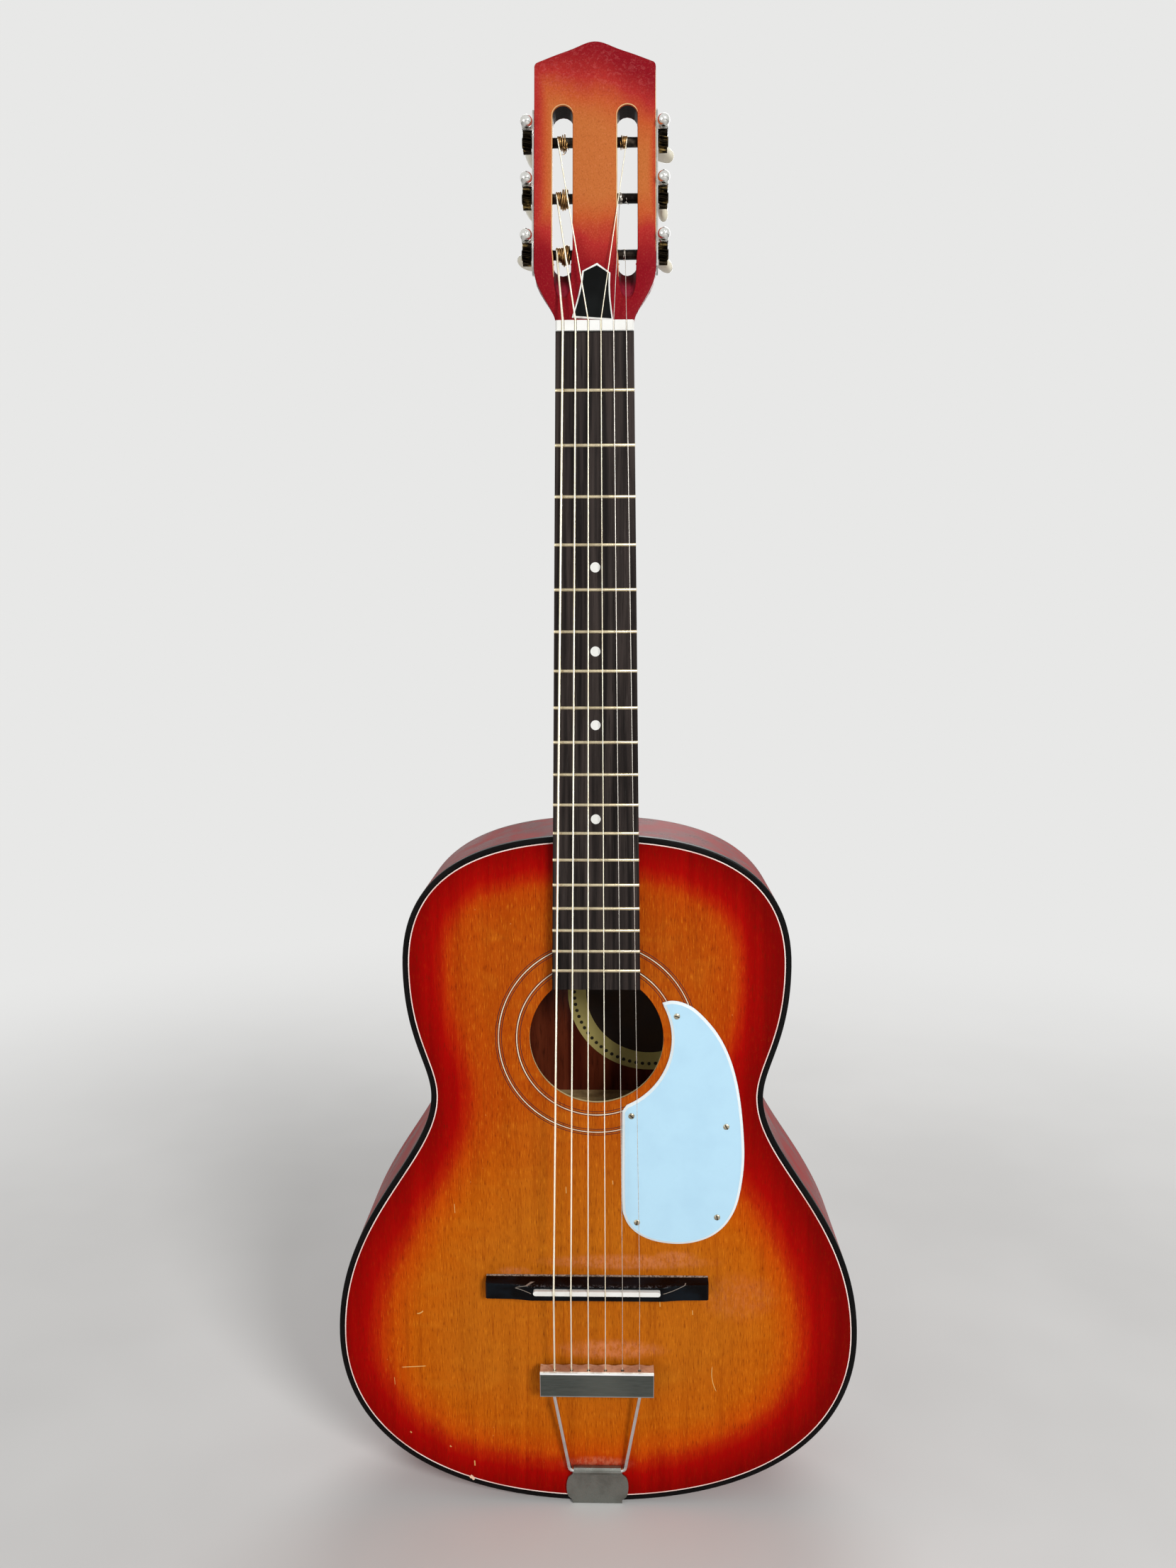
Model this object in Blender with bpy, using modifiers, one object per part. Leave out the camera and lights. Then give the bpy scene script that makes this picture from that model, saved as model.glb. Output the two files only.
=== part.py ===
"""A small flat-top steel-string guitar with a slotted headstock and a trapeze tailpiece.

The guitar stands upright: +Z runs up the neck, the soundboard's face is the plane Y = 0 and looks
towards -Y, and the origin is on the centre line at the tail. Lengths are in metres.
"""

import math

import bmesh
import bpy
from mathutils import Matrix, Vector
from mathutils.geometry import interpolate_bezier

# Clearance between pieces that touch
GAP = 0.0003

# Body outline, each bout and the waist given by its width and its height above the tail
BODY_LENGTH = 0.464
UPPER_WIDTH = 0.252
UPPER_HEIGHT = 0.378
WAIST_WIDTH = 0.218
WAIST_HEIGHT = 0.290
LOWER_WIDTH = 0.349
LOWER_HEIGHT = 0.121
# How far each bend keeps its direction, as a share of the span to the next one
SHOULDER_FLATNESS = 0.40
SHOULDER_ROUND = 0.90
UPPER_ROUND = 0.57
WAIST_ROUND_ABOVE = 0.24
WAIST_ROUND_BELOW = 0.26
HIP_ROUND = 0.51
LOWER_ROUND = 0.59
TAIL_FLATNESS = 0.65
OUTLINE_STEPS = 12

# Body box
DEPTH_AT_NECK = 0.078
DEPTH_AT_TAIL = 0.090
TOP_THICKNESS = 0.0028
BACK_THICKNESS = 0.0028
RIB_THICKNESS = 0.0028
BINDING_WIDTH = 0.0030
BINDING_DEPTH = 0.0050
LINING_WIDTH = 0.0055
LINING_HEIGHT = 0.0120
HOLE_RADIUS = 0.0437
HOLE_STEPS = 48
BOARD_END_TO_HOLE = 0.0352
NECK_BLOCK_WIDTH = 0.060
NECK_BLOCK_LENGTH = 0.045
TAIL_BLOCK_WIDTH = 0.056
TAIL_BLOCK_LENGTH = 0.018

# Cross braces: their clear distances from the neck block, the sound hole and the saddle, and the section
TOP_BRACE_BELOW_BLOCK = 0.0160
TOP_BRACE_BELOW_HOLE = 0.0187
TOP_BRACE_ABOVE_SADDLE = 0.0081
BACK_BRACE_BELOW_BLOCK = 0.0200
BACK_BRACE_BELOW_HOLE = 0.0734
BACK_BRACE_ABOVE_BOUT = 0.0090
TOP_BRACE_WIDTH = 0.010
BACK_BRACE_WIDTH = 0.014
BRACE_HEIGHT = 0.014
BRACE_END_HEIGHT = 0.003
BRACE_SCOOP = 0.040

# Strings and frets
SCALE_LENGTH = 0.610
FRET_COUNT = 18
JOINT_FRET = 12
JOINT_FRET_ABOVE_BODY = 0.0024
BOARD_OVERHANG = 0.0125
COMPENSATION = 0.0015
STRING_DIAMETERS = (0.00137, 0.00107, 0.00081, 0.00061, 0.00041, 0.00033)
SPREAD_AT_NUT = 0.0380
SPREAD_AT_SADDLE = 0.0566

# Neck
BOARD_THICKNESS = 0.0072
BOARD_WIDTH_AT_NUT = 0.0470
BOARD_WIDTH_AT_JOINT = 0.0542
FRET_HEIGHT = 0.0010
FRET_WIDTH = 0.0022
FRET_CROWN = 0.0010
NECK_DEPTH_AT_NUT = 0.0155
NECK_DEPTH_AT_HEEL = 0.0185
HEEL_LENGTH = 0.070
HEEL_DEPTH = 0.0762
HEEL_TIP_WIDTH = 0.024
NECK_SIDES = 12
# How the neck's round section narrows into the heel's tip and squares up into the headstock
SECTION_ROUNDING = 1.4
HEEL_NARROWING = 1.3
HEEL_FILLING = 0.45
HEEL_FILLING_ONSET = 1.6
HEAD_SQUARING = 0.97
HEAD_FLARE_ONSET = 0.85
TENON_WIDTH = 0.022
TENON_FLARE = 0.004
TENON_LENGTH = 0.015
TENON_DEPTH = 0.058
STEEL_BAR_WIDTH = 0.006
STEEL_BAR_DEPTH = 0.0095
STEEL_BAR_MARGIN = 0.007

# Nut, bridge and saddle
NUT_THICKNESS = 0.0060
NUT_REST_ABOVE_BOARD = 0.0011
NUT_ABOVE_REST = 0.0011
BRIDGE_LENGTH = 0.148
BRIDGE_DEPTH = 0.0140
BRIDGE_BELOW_SADDLE = 0.0015
BRIDGE_HEIGHT = 0.0120
BRIDGE_END_HEIGHT = 0.0094
BRIDGE_CREST = 0.088
BRIDGE_SHOULDER = 0.016
BRIDGE_LEAN = 0.30
BRIDGE_WING_FALL = 0.0004
BRIDGE_TIP_CHAMFER = 0.0012
BRIDGE_SCOOP_STEPS = 6
SADDLE_LENGTH = 0.084
SADDLE_THICKNESS = 0.0032
SADDLE_TOP = 0.0150
SADDLE_SLOT_DEPTH = 0.0045

# Headstock, measured up its own face from the nut
HEAD_TILT = math.radians(10.0)
HEAD_THICKNESS = 0.0145
HEAD_WIDTH = 0.074
HEAD_CORNER = 0.1620
HEAD_TIP = 0.1745
HEAD_CORNER_RADIUS = 0.003
# The crest's rise, as shares of the way from a corner to the centre line and of the whole rise
HEAD_CREST = ((0.30, 0.33), (0.60, 0.63), (0.84, 0.915))
HEAD_FLARE = 0.034
SLOT_WIDTH = 0.0130
SLOT_CENTRE = 0.0197
SLOT_BOTTOM = 0.0337
SLOT_TOP = 0.1352
RAMP_START = 0.0146
ROLLER_FIRST = 0.0453
ROLLER_SPACING = 0.0351
BADGE_WIDTH = 0.0250
BADGE_SHOULDER_WIDTH = 0.0170
BADGE_SHOULDER = 0.0310
BADGE_TIP = 0.0365
BADGE_START = 0.0020
BADGE_THICKNESS = 0.0009
BADGE_TILT = math.radians(4.5)

# Tuners: a single-start worm that turns a fourteen-tooth gear on the end of each roller
GEAR_TEETH = 14
WORM_PITCH = 0.0025
WORM_PITCH_RADIUS = 0.0023
THREAD_ADDENDUM = 0.00075
THREAD_DEDENDUM = 0.00100
THREAD_WIDTH = 0.00105
PRESSURE_ANGLE = math.radians(20.0)
THREAD_TURNS = 3
THREAD_STEPS = 10
GEAR_WIDTH = 0.0050
ROLLER_RADIUS = 0.0030
ROLLER_SEAT = 0.0085
ROLLER_SIDES = 14
PLATE_THICKNESS = 0.0010
PLATE_WIDTH = 0.0125
PLATE_BELOW = 0.0125
PLATE_ABOVE = 0.0200
EAR_THICKNESS = 0.0010
EAR_HALF_WIDTH = 0.0032
WORM_SHAFT_RADIUS = 0.00130
BALL_RADIUS = 0.0037
BALL_STAND_OFF = 0.0005
COLLAR_RADIUS = 0.0026
COLLAR_LENGTH = 0.0015
SHAFT_BEHIND_PLATE = 0.0190
BUTTON_LENGTH = 0.0175
BUTTON_WIDTH = 0.0165
BUTTON_THICKNESS = 0.0064
BUTTON_ON_SHAFT = 0.0080
BUTTON_TURNS = (15.0, 62.0, 70.0, 40.0, 75.0, 20.0)

# Turns of string round each roller, low to high, where each string meets its roller, and the way its
# turns go from there, -1 towards the centre line
WINDING_LOOPS = (3, 3, 4, 4, 4, 3)
WINDING_WAY = (-1, -1, -1, -1, 1, -1)
LOOP_STEPS = 14
LOOP_SPACE = 0.00055
STRING_AT_ROLLER = (0.0234, 0.0236, 0.0229, 0.0195, 0.0152, 0.0184)

# Trapeze tailpiece
BAR_LENGTH = 0.0758
BAR_FRONT = 0.1040
BAR_REAR = 0.0855
BAR_RIDGE_HEIGHT = 0.0152
BAR_REAR_HEIGHT = 0.0132
BAR_FLANGE_HEIGHT = 0.0055
BAR_SHEET = 0.0012
BAR_EDGE_POINTS = 30
BAR_SCALLOP = 0.0007
STRING_HOLE_HEIGHT = 0.0118
STRING_HOLE_RADIUS = 0.0013
BALL_END_RADIUS = 0.00135
BALL_END_LENGTH = 0.0026
BALL_END_TAPER = 0.0004
WIRE_RADIUS = 0.0014
WIRE_TOP_SPREAD = 0.057
WIRE_FOOT_SPREAD = 0.0384
WIRE_BEND = 0.0028
WIRE_FOOT = 0.0252
HANGER_WIDTH = 0.034
HANGER_EARS = 0.0084
HANGER_SHEET = 0.0012
HANGER_DROP = 0.036

# Pickguard: outline points clockwise from its tip, as offsets from the sound hole's centre
PICKGUARD_THICKNESS = 0.0016
PICKGUARD_ARC_RADIUS = 0.0490
PICKGUARD_ARC_FROM = math.radians(25.0)
PICKGUARD_ARC_TO = math.radians(-69.0)
PICKGUARD_EDGE = (
    (0.0531, 0.0238), (0.0661, 0.0170), (0.0780, 0.0045), (0.0866, -0.0115), (0.0925, -0.0325),
    (0.0960, -0.0590), (0.0970, -0.0850), (0.0936, -0.1100), (0.0875, -0.1245), (0.0785, -0.1340),
    (0.0665, -0.1395), (0.0523, -0.1412), (0.0367, -0.1388), (0.0250, -0.1325), (0.0185, -0.1230),
    (0.0168, -0.1080), (0.0168, -0.0490),
)

FACE_ON = Matrix.Rotation(math.pi / 2, 4, "X")
SIDE_ON = Matrix(((0, 0, 1, 0), (1, 0, 0, 0), (0, 1, 0, 0), (0, 0, 0, 1)))

for leftover in list(bpy.data.objects):
    bpy.data.objects.remove(leftover)

parts = bpy.data.collections.new("guitar")
cutters = bpy.data.collections.new("guitar_cutters")
bpy.context.scene.collection.children.link(parts)
bpy.context.scene.collection.children.link(cutters)


# Derived places that several pieces share
def fret_distance(number):
    """Distance from the nut to a fret."""
    return SCALE_LENGTH * (1 - 2 ** (-number / 12))


NUT_Z = BODY_LENGTH + JOINT_FRET_ABOVE_BODY + fret_distance(JOINT_FRET)
BOARD_END_Z = NUT_Z - fret_distance(FRET_COUNT) - BOARD_OVERHANG
SADDLE_Z = NUT_Z - SCALE_LENGTH - COMPENSATION
HOLE_Z = BOARD_END_Z - BOARD_END_TO_HOLE
BLOCK_FOOT_Z = BODY_LENGTH - NECK_BLOCK_LENGTH
TOP_BRACES = (
    BLOCK_FOOT_Z - TOP_BRACE_BELOW_BLOCK - TOP_BRACE_WIDTH / 2,
    HOLE_Z - HOLE_RADIUS - TOP_BRACE_BELOW_HOLE - TOP_BRACE_WIDTH / 2,
    SADDLE_Z + TOP_BRACE_ABOVE_SADDLE,
)
BACK_BRACES = (
    BLOCK_FOOT_Z - BACK_BRACE_BELOW_BLOCK - BACK_BRACE_WIDTH / 2,
    HOLE_Z - BACK_BRACE_BELOW_HOLE,
    LOWER_HEIGHT + BACK_BRACE_ABOVE_BOUT,
)
BOARD_TOP = GAP + BOARD_THICKNESS
NUT_REST = BOARD_TOP + NUT_REST_ABOVE_BOARD
INSET = max(RIB_THICKNESS, BINDING_WIDTH) + GAP
PLATE_X = HEAD_WIDTH / 2 + GAP
WORM_TIP_RADIUS = WORM_PITCH_RADIUS + THREAD_ADDENDUM
GEAR_X = PLATE_X + PLATE_THICKNESS + GAP + max(GEAR_WIDTH / 2, WORM_TIP_RADIUS)
ROLLER_Y = HEAD_THICKNESS / 2
GEAR_RADIUS = GEAR_TEETH * WORM_PITCH / (2 * math.pi)
WORM_OFFSET = GEAR_RADIUS + WORM_PITCH_RADIUS
PLATE_FRONT = ROLLER_Y - PLATE_WIDTH / 2
PLATE_BACK = ROLLER_Y + PLATE_WIDTH / 2

head = bpy.data.objects.new("headstock_frame", None)
head.location = (0, 0, NUT_Z + NUT_THICKNESS + GAP)
head.rotation_euler = (-HEAD_TILT, 0, 0)
parts.objects.link(head)
bpy.context.view_layer.update()


def board_half_width(z):
    """Half the fingerboard's width at a height above the tail."""
    joint_z = NUT_Z - fret_distance(JOINT_FRET)
    slope = (BOARD_WIDTH_AT_JOINT - BOARD_WIDTH_AT_NUT) / (NUT_Z - joint_z)
    return (BOARD_WIDTH_AT_NUT + slope * (NUT_Z - z)) / 2


def body_depth(z):
    """Depth of the body, from the soundboard's face to the back's outside."""
    return DEPTH_AT_TAIL + (DEPTH_AT_NECK - DEPTH_AT_TAIL) * z / BODY_LENGTH


# Materials
def paint(name, colour, roughness, metallic=0.0):
    """A plain surface for one kind of piece."""
    made = bpy.data.materials.new(name)
    made.use_nodes = True
    shader = made.node_tree.nodes["Principled BSDF"]
    shader.inputs["Base Color"].default_value = (*colour, 1.0)
    shader.inputs["Roughness"].default_value = roughness
    shader.inputs["Metallic"].default_value = metallic
    return made


SUNBURST = paint("sunburst_top", (0.62, 0.20, 0.03), 0.25)
RED_WOOD = paint("red_wood", (0.30, 0.03, 0.02), 0.28)
RAW_WOOD = paint("raw_wood", (0.62, 0.45, 0.28), 0.75)
DARK_WOOD = paint("dark_wood", (0.05, 0.025, 0.02), 0.50)
BLACK = paint("black_plastic", (0.015, 0.015, 0.018), 0.30)
WHITE = paint("white_plastic", (0.85, 0.84, 0.80), 0.35)
CREAM = paint("cream_plastic", (0.80, 0.75, 0.62), 0.30)
PALE_BLUE = paint("pale_blue_plastic", (0.55, 0.70, 0.78), 0.28)
NICKEL = paint("nickel", (0.55, 0.55, 0.54), 0.35, 1.0)
DARK_STEEL = paint("dark_steel", (0.20, 0.18, 0.15), 0.45, 1.0)
STEEL = paint("steel", (0.62, 0.62, 0.62), 0.25, 1.0)
BRONZE = paint("bronze", (0.70, 0.46, 0.22), 0.35, 1.0)


# Building blocks
def finish(name, mesh, material, matrix=None, parent=None, smooth=35.0):
    """Puts a mesh in the scene as one named piece."""
    made = bpy.data.objects.new(name, mesh)
    if parent:
        made.parent = parent
    made.matrix_local = matrix or Matrix()
    mesh.materials.clear()
    mesh.materials.append(material)
    if smooth:
        mesh.shade_smooth()
        mesh.set_sharp_from_angle(angle=math.radians(smooth))
        keep_rim_sharp(mesh)
    parts.objects.link(made)
    return made


def keep_rim_sharp(mesh):
    """Marks the open edges of a sheet as sharp, so that its thickened rim is shaded flat."""
    uses = {}
    for face in mesh.polygons:
        for key in face.edge_keys:
            uses[key] = uses.get(key, 0) + 1
    for edge in mesh.edges:
        if uses.get(edge.key) == 1:
            edge.use_edge_sharp = True


def mesh_of(bm, name):
    """Closes a bmesh as a mesh whose faces point out."""
    bmesh.ops.recalc_face_normals(bm, faces=bm.faces)
    mesh = bpy.data.meshes.new(name)
    bm.to_mesh(mesh)
    bm.free()
    return mesh


def mesh_of_curve(curve):
    """The closed mesh that a curve makes, in the curve's own space."""
    guide = bpy.data.objects.new(curve.name, curve)
    cutters.objects.link(guide)
    bpy.context.view_layer.update()
    evaluated = guide.evaluated_get(bpy.context.evaluated_depsgraph_get())
    mesh = bpy.data.meshes.new_from_object(evaluated)
    bpy.data.objects.remove(guide)
    bm = bmesh.new()
    bm.from_mesh(mesh)
    bmesh.ops.remove_doubles(bm, verts=bm.verts, dist=1e-6)
    bmesh.ops.dissolve_limit(bm, angle_limit=0.0005, verts=bm.verts, edges=bm.edges)
    bmesh.ops.recalc_face_normals(bm, faces=bm.faces)
    bm.to_mesh(mesh)
    bm.free()
    return mesh


def flat_mesh(name, loops, thickness):
    """A flat outline, with holes if there is more than one loop, given a thickness about its own plane."""
    curve = bpy.data.curves.new(name, "CURVE")
    curve.dimensions = "2D"
    curve.fill_mode = "BOTH"
    curve.extrude = thickness / 2
    for loop in loops:
        spline = curve.splines.new("POLY")
        spline.points.add(len(loop) - 1)
        for point, (a, b) in zip(spline.points, loop):
            point.co = (a, b, 0, 1)
        spline.use_cyclic_u = True
    return mesh_of_curve(curve)


def tube_mesh(name, points, radius, resolution=2, radii=None):
    """A round bar along a line of points, with closed ends."""
    curve = bpy.data.curves.new(name, "CURVE")
    curve.dimensions = "3D"
    curve.bevel_depth = radius
    curve.bevel_resolution = resolution
    curve.use_fill_caps = True
    spline = curve.splines.new("POLY")
    spline.points.add(len(points) - 1)
    for index, place in enumerate(points):
        spline.points[index].co = (*place, 1)
        spline.points[index].radius = radii[index] if radii else 1.0
    return mesh_of_curve(curve)


def add_box(bm, low, high):
    """Adds a box between two corners."""
    low, high = Vector(low), Vector(high)
    size = high - low
    place = Matrix.Translation((low + high) / 2) @ Matrix.Diagonal((*size, 1))
    bmesh.ops.create_cube(bm, size=1.0, matrix=place)


def add_rod(bm, start, end, radius, sides):
    """Adds a round rod between two points."""
    start, end = Vector(start), Vector(end)
    along = end - start
    turn = along.to_track_quat("Z", "Y").to_matrix().to_4x4()
    bmesh.ops.create_cone(
        bm, cap_ends=True, segments=sides, depth=along.length,
        radius1=radius, radius2=radius,
        matrix=Matrix.Translation((start + end) / 2) @ turn,
    )


def guide_object(name, mesh, matrix=None, parent=None):
    """A cutter or a joined form, kept apart from the pieces and never rendered."""
    made = bpy.data.objects.new(name, mesh)
    if parent:
        made.parent = parent
    made.matrix_local = matrix or Matrix()
    made.hide_render = True
    made.display_type = "WIRE"
    cutters.objects.link(made)
    return made


def shape_with(piece, guide, operation):
    """Cuts a guide from a piece, or joins it on."""
    change = piece.modifiers.new(guide.name, "BOOLEAN")
    change.operation = operation
    change.solver = "EXACT"
    change.object = guide
    return piece


def circle(radius, steps, centre=(0.0, 0.0), start=0.0, sweep=2 * math.pi):
    """Points round a circle or along an arc; a whole circle doesn't repeat its first point."""
    whole = abs(abs(sweep) - 2 * math.pi) < 1e-9
    count = steps if whole else steps + 1
    angles = [start + sweep * k / steps for k in range(count)]
    return [(centre[0] + radius * math.cos(a), centre[1] + radius * math.sin(a)) for a in angles]


def smooth_through(points, steps):
    """A denser line through some points, without corners at the points between its two ends."""
    line = []
    for k in range(len(points) - 1):
        before, here, there = points[max(k - 1, 0)], points[k], points[k + 1]
        after = points[min(k + 2, len(points) - 1)]
        bend = [Vector((*here, 0)), Vector((*there, 0))]
        leave = bend[0] + Vector((there[0] - before[0], there[1] - before[1], 0)) / 6
        arrive = bend[1] - Vector((after[0] - here[0], after[1] - here[1], 0)) / 6
        run = interpolate_bezier(bend[0], leave, arrive, bend[1], steps + 1)
        line += [(v.x, v.y) for v in run[:-1]]
    return line + [points[-1]]


# Body outline
def half_outline(inset=0.0):
    """Points down the right-hand half of the body, from the neck end to the tail, moved in by the inset."""
    upper = (UPPER_WIDTH / 2, UPPER_HEIGHT)
    waist = (WAIST_WIDTH / 2, WAIST_HEIGHT)
    lower = (LOWER_WIDTH / 2, LOWER_HEIGHT)
    bends = [
        ((0, BODY_LENGTH), (SHOULDER_FLATNESS * upper[0], BODY_LENGTH),
         (upper[0], upper[1] + SHOULDER_ROUND * (BODY_LENGTH - upper[1])), upper),
        (upper, (upper[0], upper[1] - UPPER_ROUND * (upper[1] - waist[1])),
         (waist[0], waist[1] + WAIST_ROUND_ABOVE * (upper[1] - waist[1])), waist),
        (waist, (waist[0], waist[1] - WAIST_ROUND_BELOW * (waist[1] - lower[1])),
         (lower[0], lower[1] + HIP_ROUND * (waist[1] - lower[1])), lower),
        (lower, (lower[0], lower[1] - LOWER_ROUND * lower[1]), (TAIL_FLATNESS * lower[0], 0), (0, 0)),
    ]
    fine = []
    for bend in bends:
        corners = [Vector((a, b, 0)) for a, b in bend]
        run = interpolate_bezier(corners[0], corners[1], corners[2], corners[3], OUTLINE_STEPS + 1)
        fine += run if not fine else run[1:]
    moved = []
    for index, here in enumerate(fine):
        before = fine[index - 1] if index else Vector((-fine[1].x, fine[1].y, 0))
        after = fine[index + 1] if index + 1 < len(fine) else Vector((-fine[-2].x, fine[-2].y, 0))
        along = (after - before).normalized()
        moved.append((here.x + along.y * inset, here.y - along.x * inset))
    return moved


def whole_outline(inset=0.0):
    """The closed outline, clockwise from the neck end."""
    right = half_outline(inset)
    left = [(-x, z) for x, z in reversed(right[1:-1])]
    return right + left


def clipped_half(inset, cut_at_neck, cut_at_tail):
    """The right-hand half outline without the stretches nearer the centre line than the two cuts."""
    points = half_outline(inset)
    middle = len(points) // 2

    def crossing(inner, outer, cut):
        share = (cut - inner[0]) / (outer[0] - inner[0])
        return (cut, inner[1] + share * (outer[1] - inner[1]))

    first = next(k for k in range(len(points)) if points[k][0] > cut_at_neck)
    last = next(k for k in range(len(points) - 1, middle, -1) if points[k][0] > cut_at_tail)
    start = crossing(points[first - 1], points[first], cut_at_neck)
    end = crossing(points[last + 1], points[last], cut_at_tail)
    return [start] + points[first:last + 1] + [end]


def half_width_at(z, inset=0.0):
    """Half the body's width at a height above the tail."""
    points = half_outline(inset)
    best = 0.0
    for (x0, z0), (x1, z1) in zip(points, points[1:]):
        if min(z0, z1) <= z <= max(z0, z1) and abs(z1 - z0) > 1e-9:
            best = max(best, x0 + (x1 - x0) * (z - z0) / (z1 - z0))
    return best


def follow_back(mesh, front_y):
    """Slants what is built for the tail's depth, so that it follows the back."""
    for vertex in mesh.vertices:
        if vertex.co.y > front_y:
            vertex.co.y += body_depth(vertex.co.z) - DEPTH_AT_TAIL


# Body pieces
def make_soundboard():
    hole = circle(HOLE_RADIUS, HOLE_STEPS, (0, HOLE_Z))
    mesh = flat_mesh("soundboard", [whole_outline(BINDING_WIDTH + GAP), hole], TOP_THICKNESS)
    mesh.transform(Matrix.Translation((0, TOP_THICKNESS / 2, 0)) @ FACE_ON)
    finish("soundboard", mesh, SUNBURST)


def make_back_plate():
    mesh = flat_mesh("back_plate", [whole_outline()], BACK_THICKNESS)
    mesh.transform(Matrix.Translation((0, DEPTH_AT_TAIL - BACK_THICKNESS / 2, 0)) @ FACE_ON)
    follow_back(mesh, 0)
    finish("back_plate", mesh, RED_WOOD)


def make_binding():
    mesh = flat_mesh("top_binding", [whole_outline(), whole_outline(BINDING_WIDTH)], BINDING_DEPTH)
    mesh.transform(Matrix.Translation((0, BINDING_DEPTH / 2, 0)) @ FACE_ON)
    finish("top_binding", mesh, BLACK)


def make_ribs(mortise):
    front = BINDING_DEPTH + GAP
    run = clipped_half(0.0, GAP / 2, GAP / 2)
    for side, name in ((-1, "left_rib"), (1, "right_rib")):
        bm = bmesh.new()
        line = [bm.verts.new((side * x, front, z)) for x, z in run]
        edges = [bm.edges.new(pair) for pair in zip(line, line[1:])]
        wall = bmesh.ops.extrude_edge_only(bm, edges=edges)["geom"]
        for vertex in [v for v in wall if isinstance(v, bmesh.types.BMVert)]:
            vertex.co.y = body_depth(vertex.co.z) - BACK_THICKNESS - GAP
        mesh = bpy.data.meshes.new(name)
        bm.to_mesh(mesh)
        bm.free()
        rib = finish(name, mesh, RED_WOOD)
        shell = rib.modifiers.new("rib wall", "SOLIDIFY")
        shell.thickness = RIB_THICKNESS
        shell.offset = side
        shell.use_even_offset = True
        shape_with(rib, mortise, "DIFFERENCE")


def make_linings():
    """Strips of wood in the corners between the ribs and the plates, from block to block."""
    at_neck = NECK_BLOCK_WIDTH / 2 + GAP
    at_tail = TAIL_BLOCK_WIDTH / 2 + GAP
    outer = clipped_half(INSET, at_neck, at_tail)
    inner = clipped_half(INSET + LINING_WIDTH, at_neck, at_tail)
    for side, word in ((-1, "left"), (1, "right")):
        loop = [(side * x, z) for x, z in outer + inner[::-1]]
        front = flat_mesh(f"top_lining_{word}", [loop], LINING_HEIGHT)
        front.transform(Matrix.Translation((0, TOP_THICKNESS + GAP + LINING_HEIGHT / 2, 0)) @ FACE_ON)
        finish(f"top_lining_{word}", front, RAW_WOOD)
        back = flat_mesh(f"back_lining_{word}", [loop], LINING_HEIGHT)
        centre = DEPTH_AT_TAIL - BACK_THICKNESS - GAP - LINING_HEIGHT / 2
        back.transform(Matrix.Translation((0, centre, 0)) @ FACE_ON)
        follow_back(back, 0)
        finish(f"back_lining_{word}", back, RAW_WOOD)


def block_mesh(name, half_width, at_neck, length):
    """A block of wood that fills the body from plate to plate and follows the ribs."""
    clipped = clipped_half(INSET, half_width, half_width)
    corner = clipped[0] if at_neck else clipped[-1]
    end_z = BODY_LENGTH if at_neck else 0.0
    far_z = BODY_LENGTH - length if at_neck else length
    rim = sorted(p for p in whole_outline(INSET) if abs(p[0]) < half_width and abs(p[1] - end_z) < length)
    loop = [(-half_width, far_z), (-half_width, corner[1])] + rim + [corner, (half_width, far_z)]
    front = TOP_THICKNESS + GAP
    back = DEPTH_AT_TAIL - BACK_THICKNESS - GAP
    mesh = flat_mesh(name, [loop], back - front)
    mesh.transform(Matrix.Translation((0, (front + back) / 2, 0)) @ FACE_ON)
    follow_back(mesh, (front + back) / 2)
    return mesh


def tenon_mesh(name, clearance):
    """The dovetail on the heel, or the hollow for it in the neck block."""
    start = BODY_LENGTH + GAP + 0.001
    end = BODY_LENGTH - TENON_LENGTH - clearance
    narrow = TENON_WIDTH / 2 + clearance
    wide = TENON_WIDTH / 2 + TENON_FLARE + clearance
    loop = [(-narrow, start), (narrow, start), (wide, end), (-wide, end)]
    front = BINDING_DEPTH + GAP - (0 if clearance == 0 else 0.0001)
    depth = TENON_DEPTH + clearance
    mesh = flat_mesh(name, [loop], depth)
    mesh.transform(Matrix.Translation((0, front + depth / 2, 0)) @ FACE_ON)
    return mesh


def make_blocks(mortise):
    mesh = block_mesh("neck_block", NECK_BLOCK_WIDTH / 2, True, NECK_BLOCK_LENGTH)
    shape_with(finish("neck_block", mesh, RAW_WOOD), mortise, "DIFFERENCE")
    mesh = block_mesh("tail_block", TAIL_BLOCK_WIDTH / 2, False, TAIL_BLOCK_LENGTH)
    finish("tail_block", mesh, RAW_WOOD)


def brace_loop(half):
    """A brace seen from the neck end: full height in the middle, scooped down to thin ends."""
    steps = 4
    scoop = [
        (half - BRACE_SCOOP * k / steps,
         BRACE_END_HEIGHT + (BRACE_HEIGHT - BRACE_END_HEIGHT) * (1 - math.cos(math.pi * k / steps)) / 2)
        for k in range(steps + 1)
    ]
    return [(half, 0)] + scoop + [(-x, y) for x, y in reversed(scoop)] + [(-half, 0)]


def make_braces():
    for word, heights, width, down in (("top", TOP_BRACES, TOP_BRACE_WIDTH, 1),
                                       ("back", BACK_BRACES, BACK_BRACE_WIDTH, -1)):
        seat = TOP_THICKNESS + GAP if word == "top" else DEPTH_AT_TAIL - BACK_THICKNESS - GAP
        for number, z in enumerate(heights, 1):
            inset = INSET + LINING_WIDTH + GAP
            half = min(half_width_at(z - width / 2, inset), half_width_at(z + width / 2, inset))
            loop = [(x, down * y) for x, y in brace_loop(half)]
            mesh = flat_mesh(f"{word}_brace_{number}", [loop], width)
            mesh.transform(Matrix.Translation((0, seat, z)))
            if word == "back":
                follow_back(mesh, 0)
            finish(f"{word}_brace_{number}", mesh, RAW_WOOD)


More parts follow.
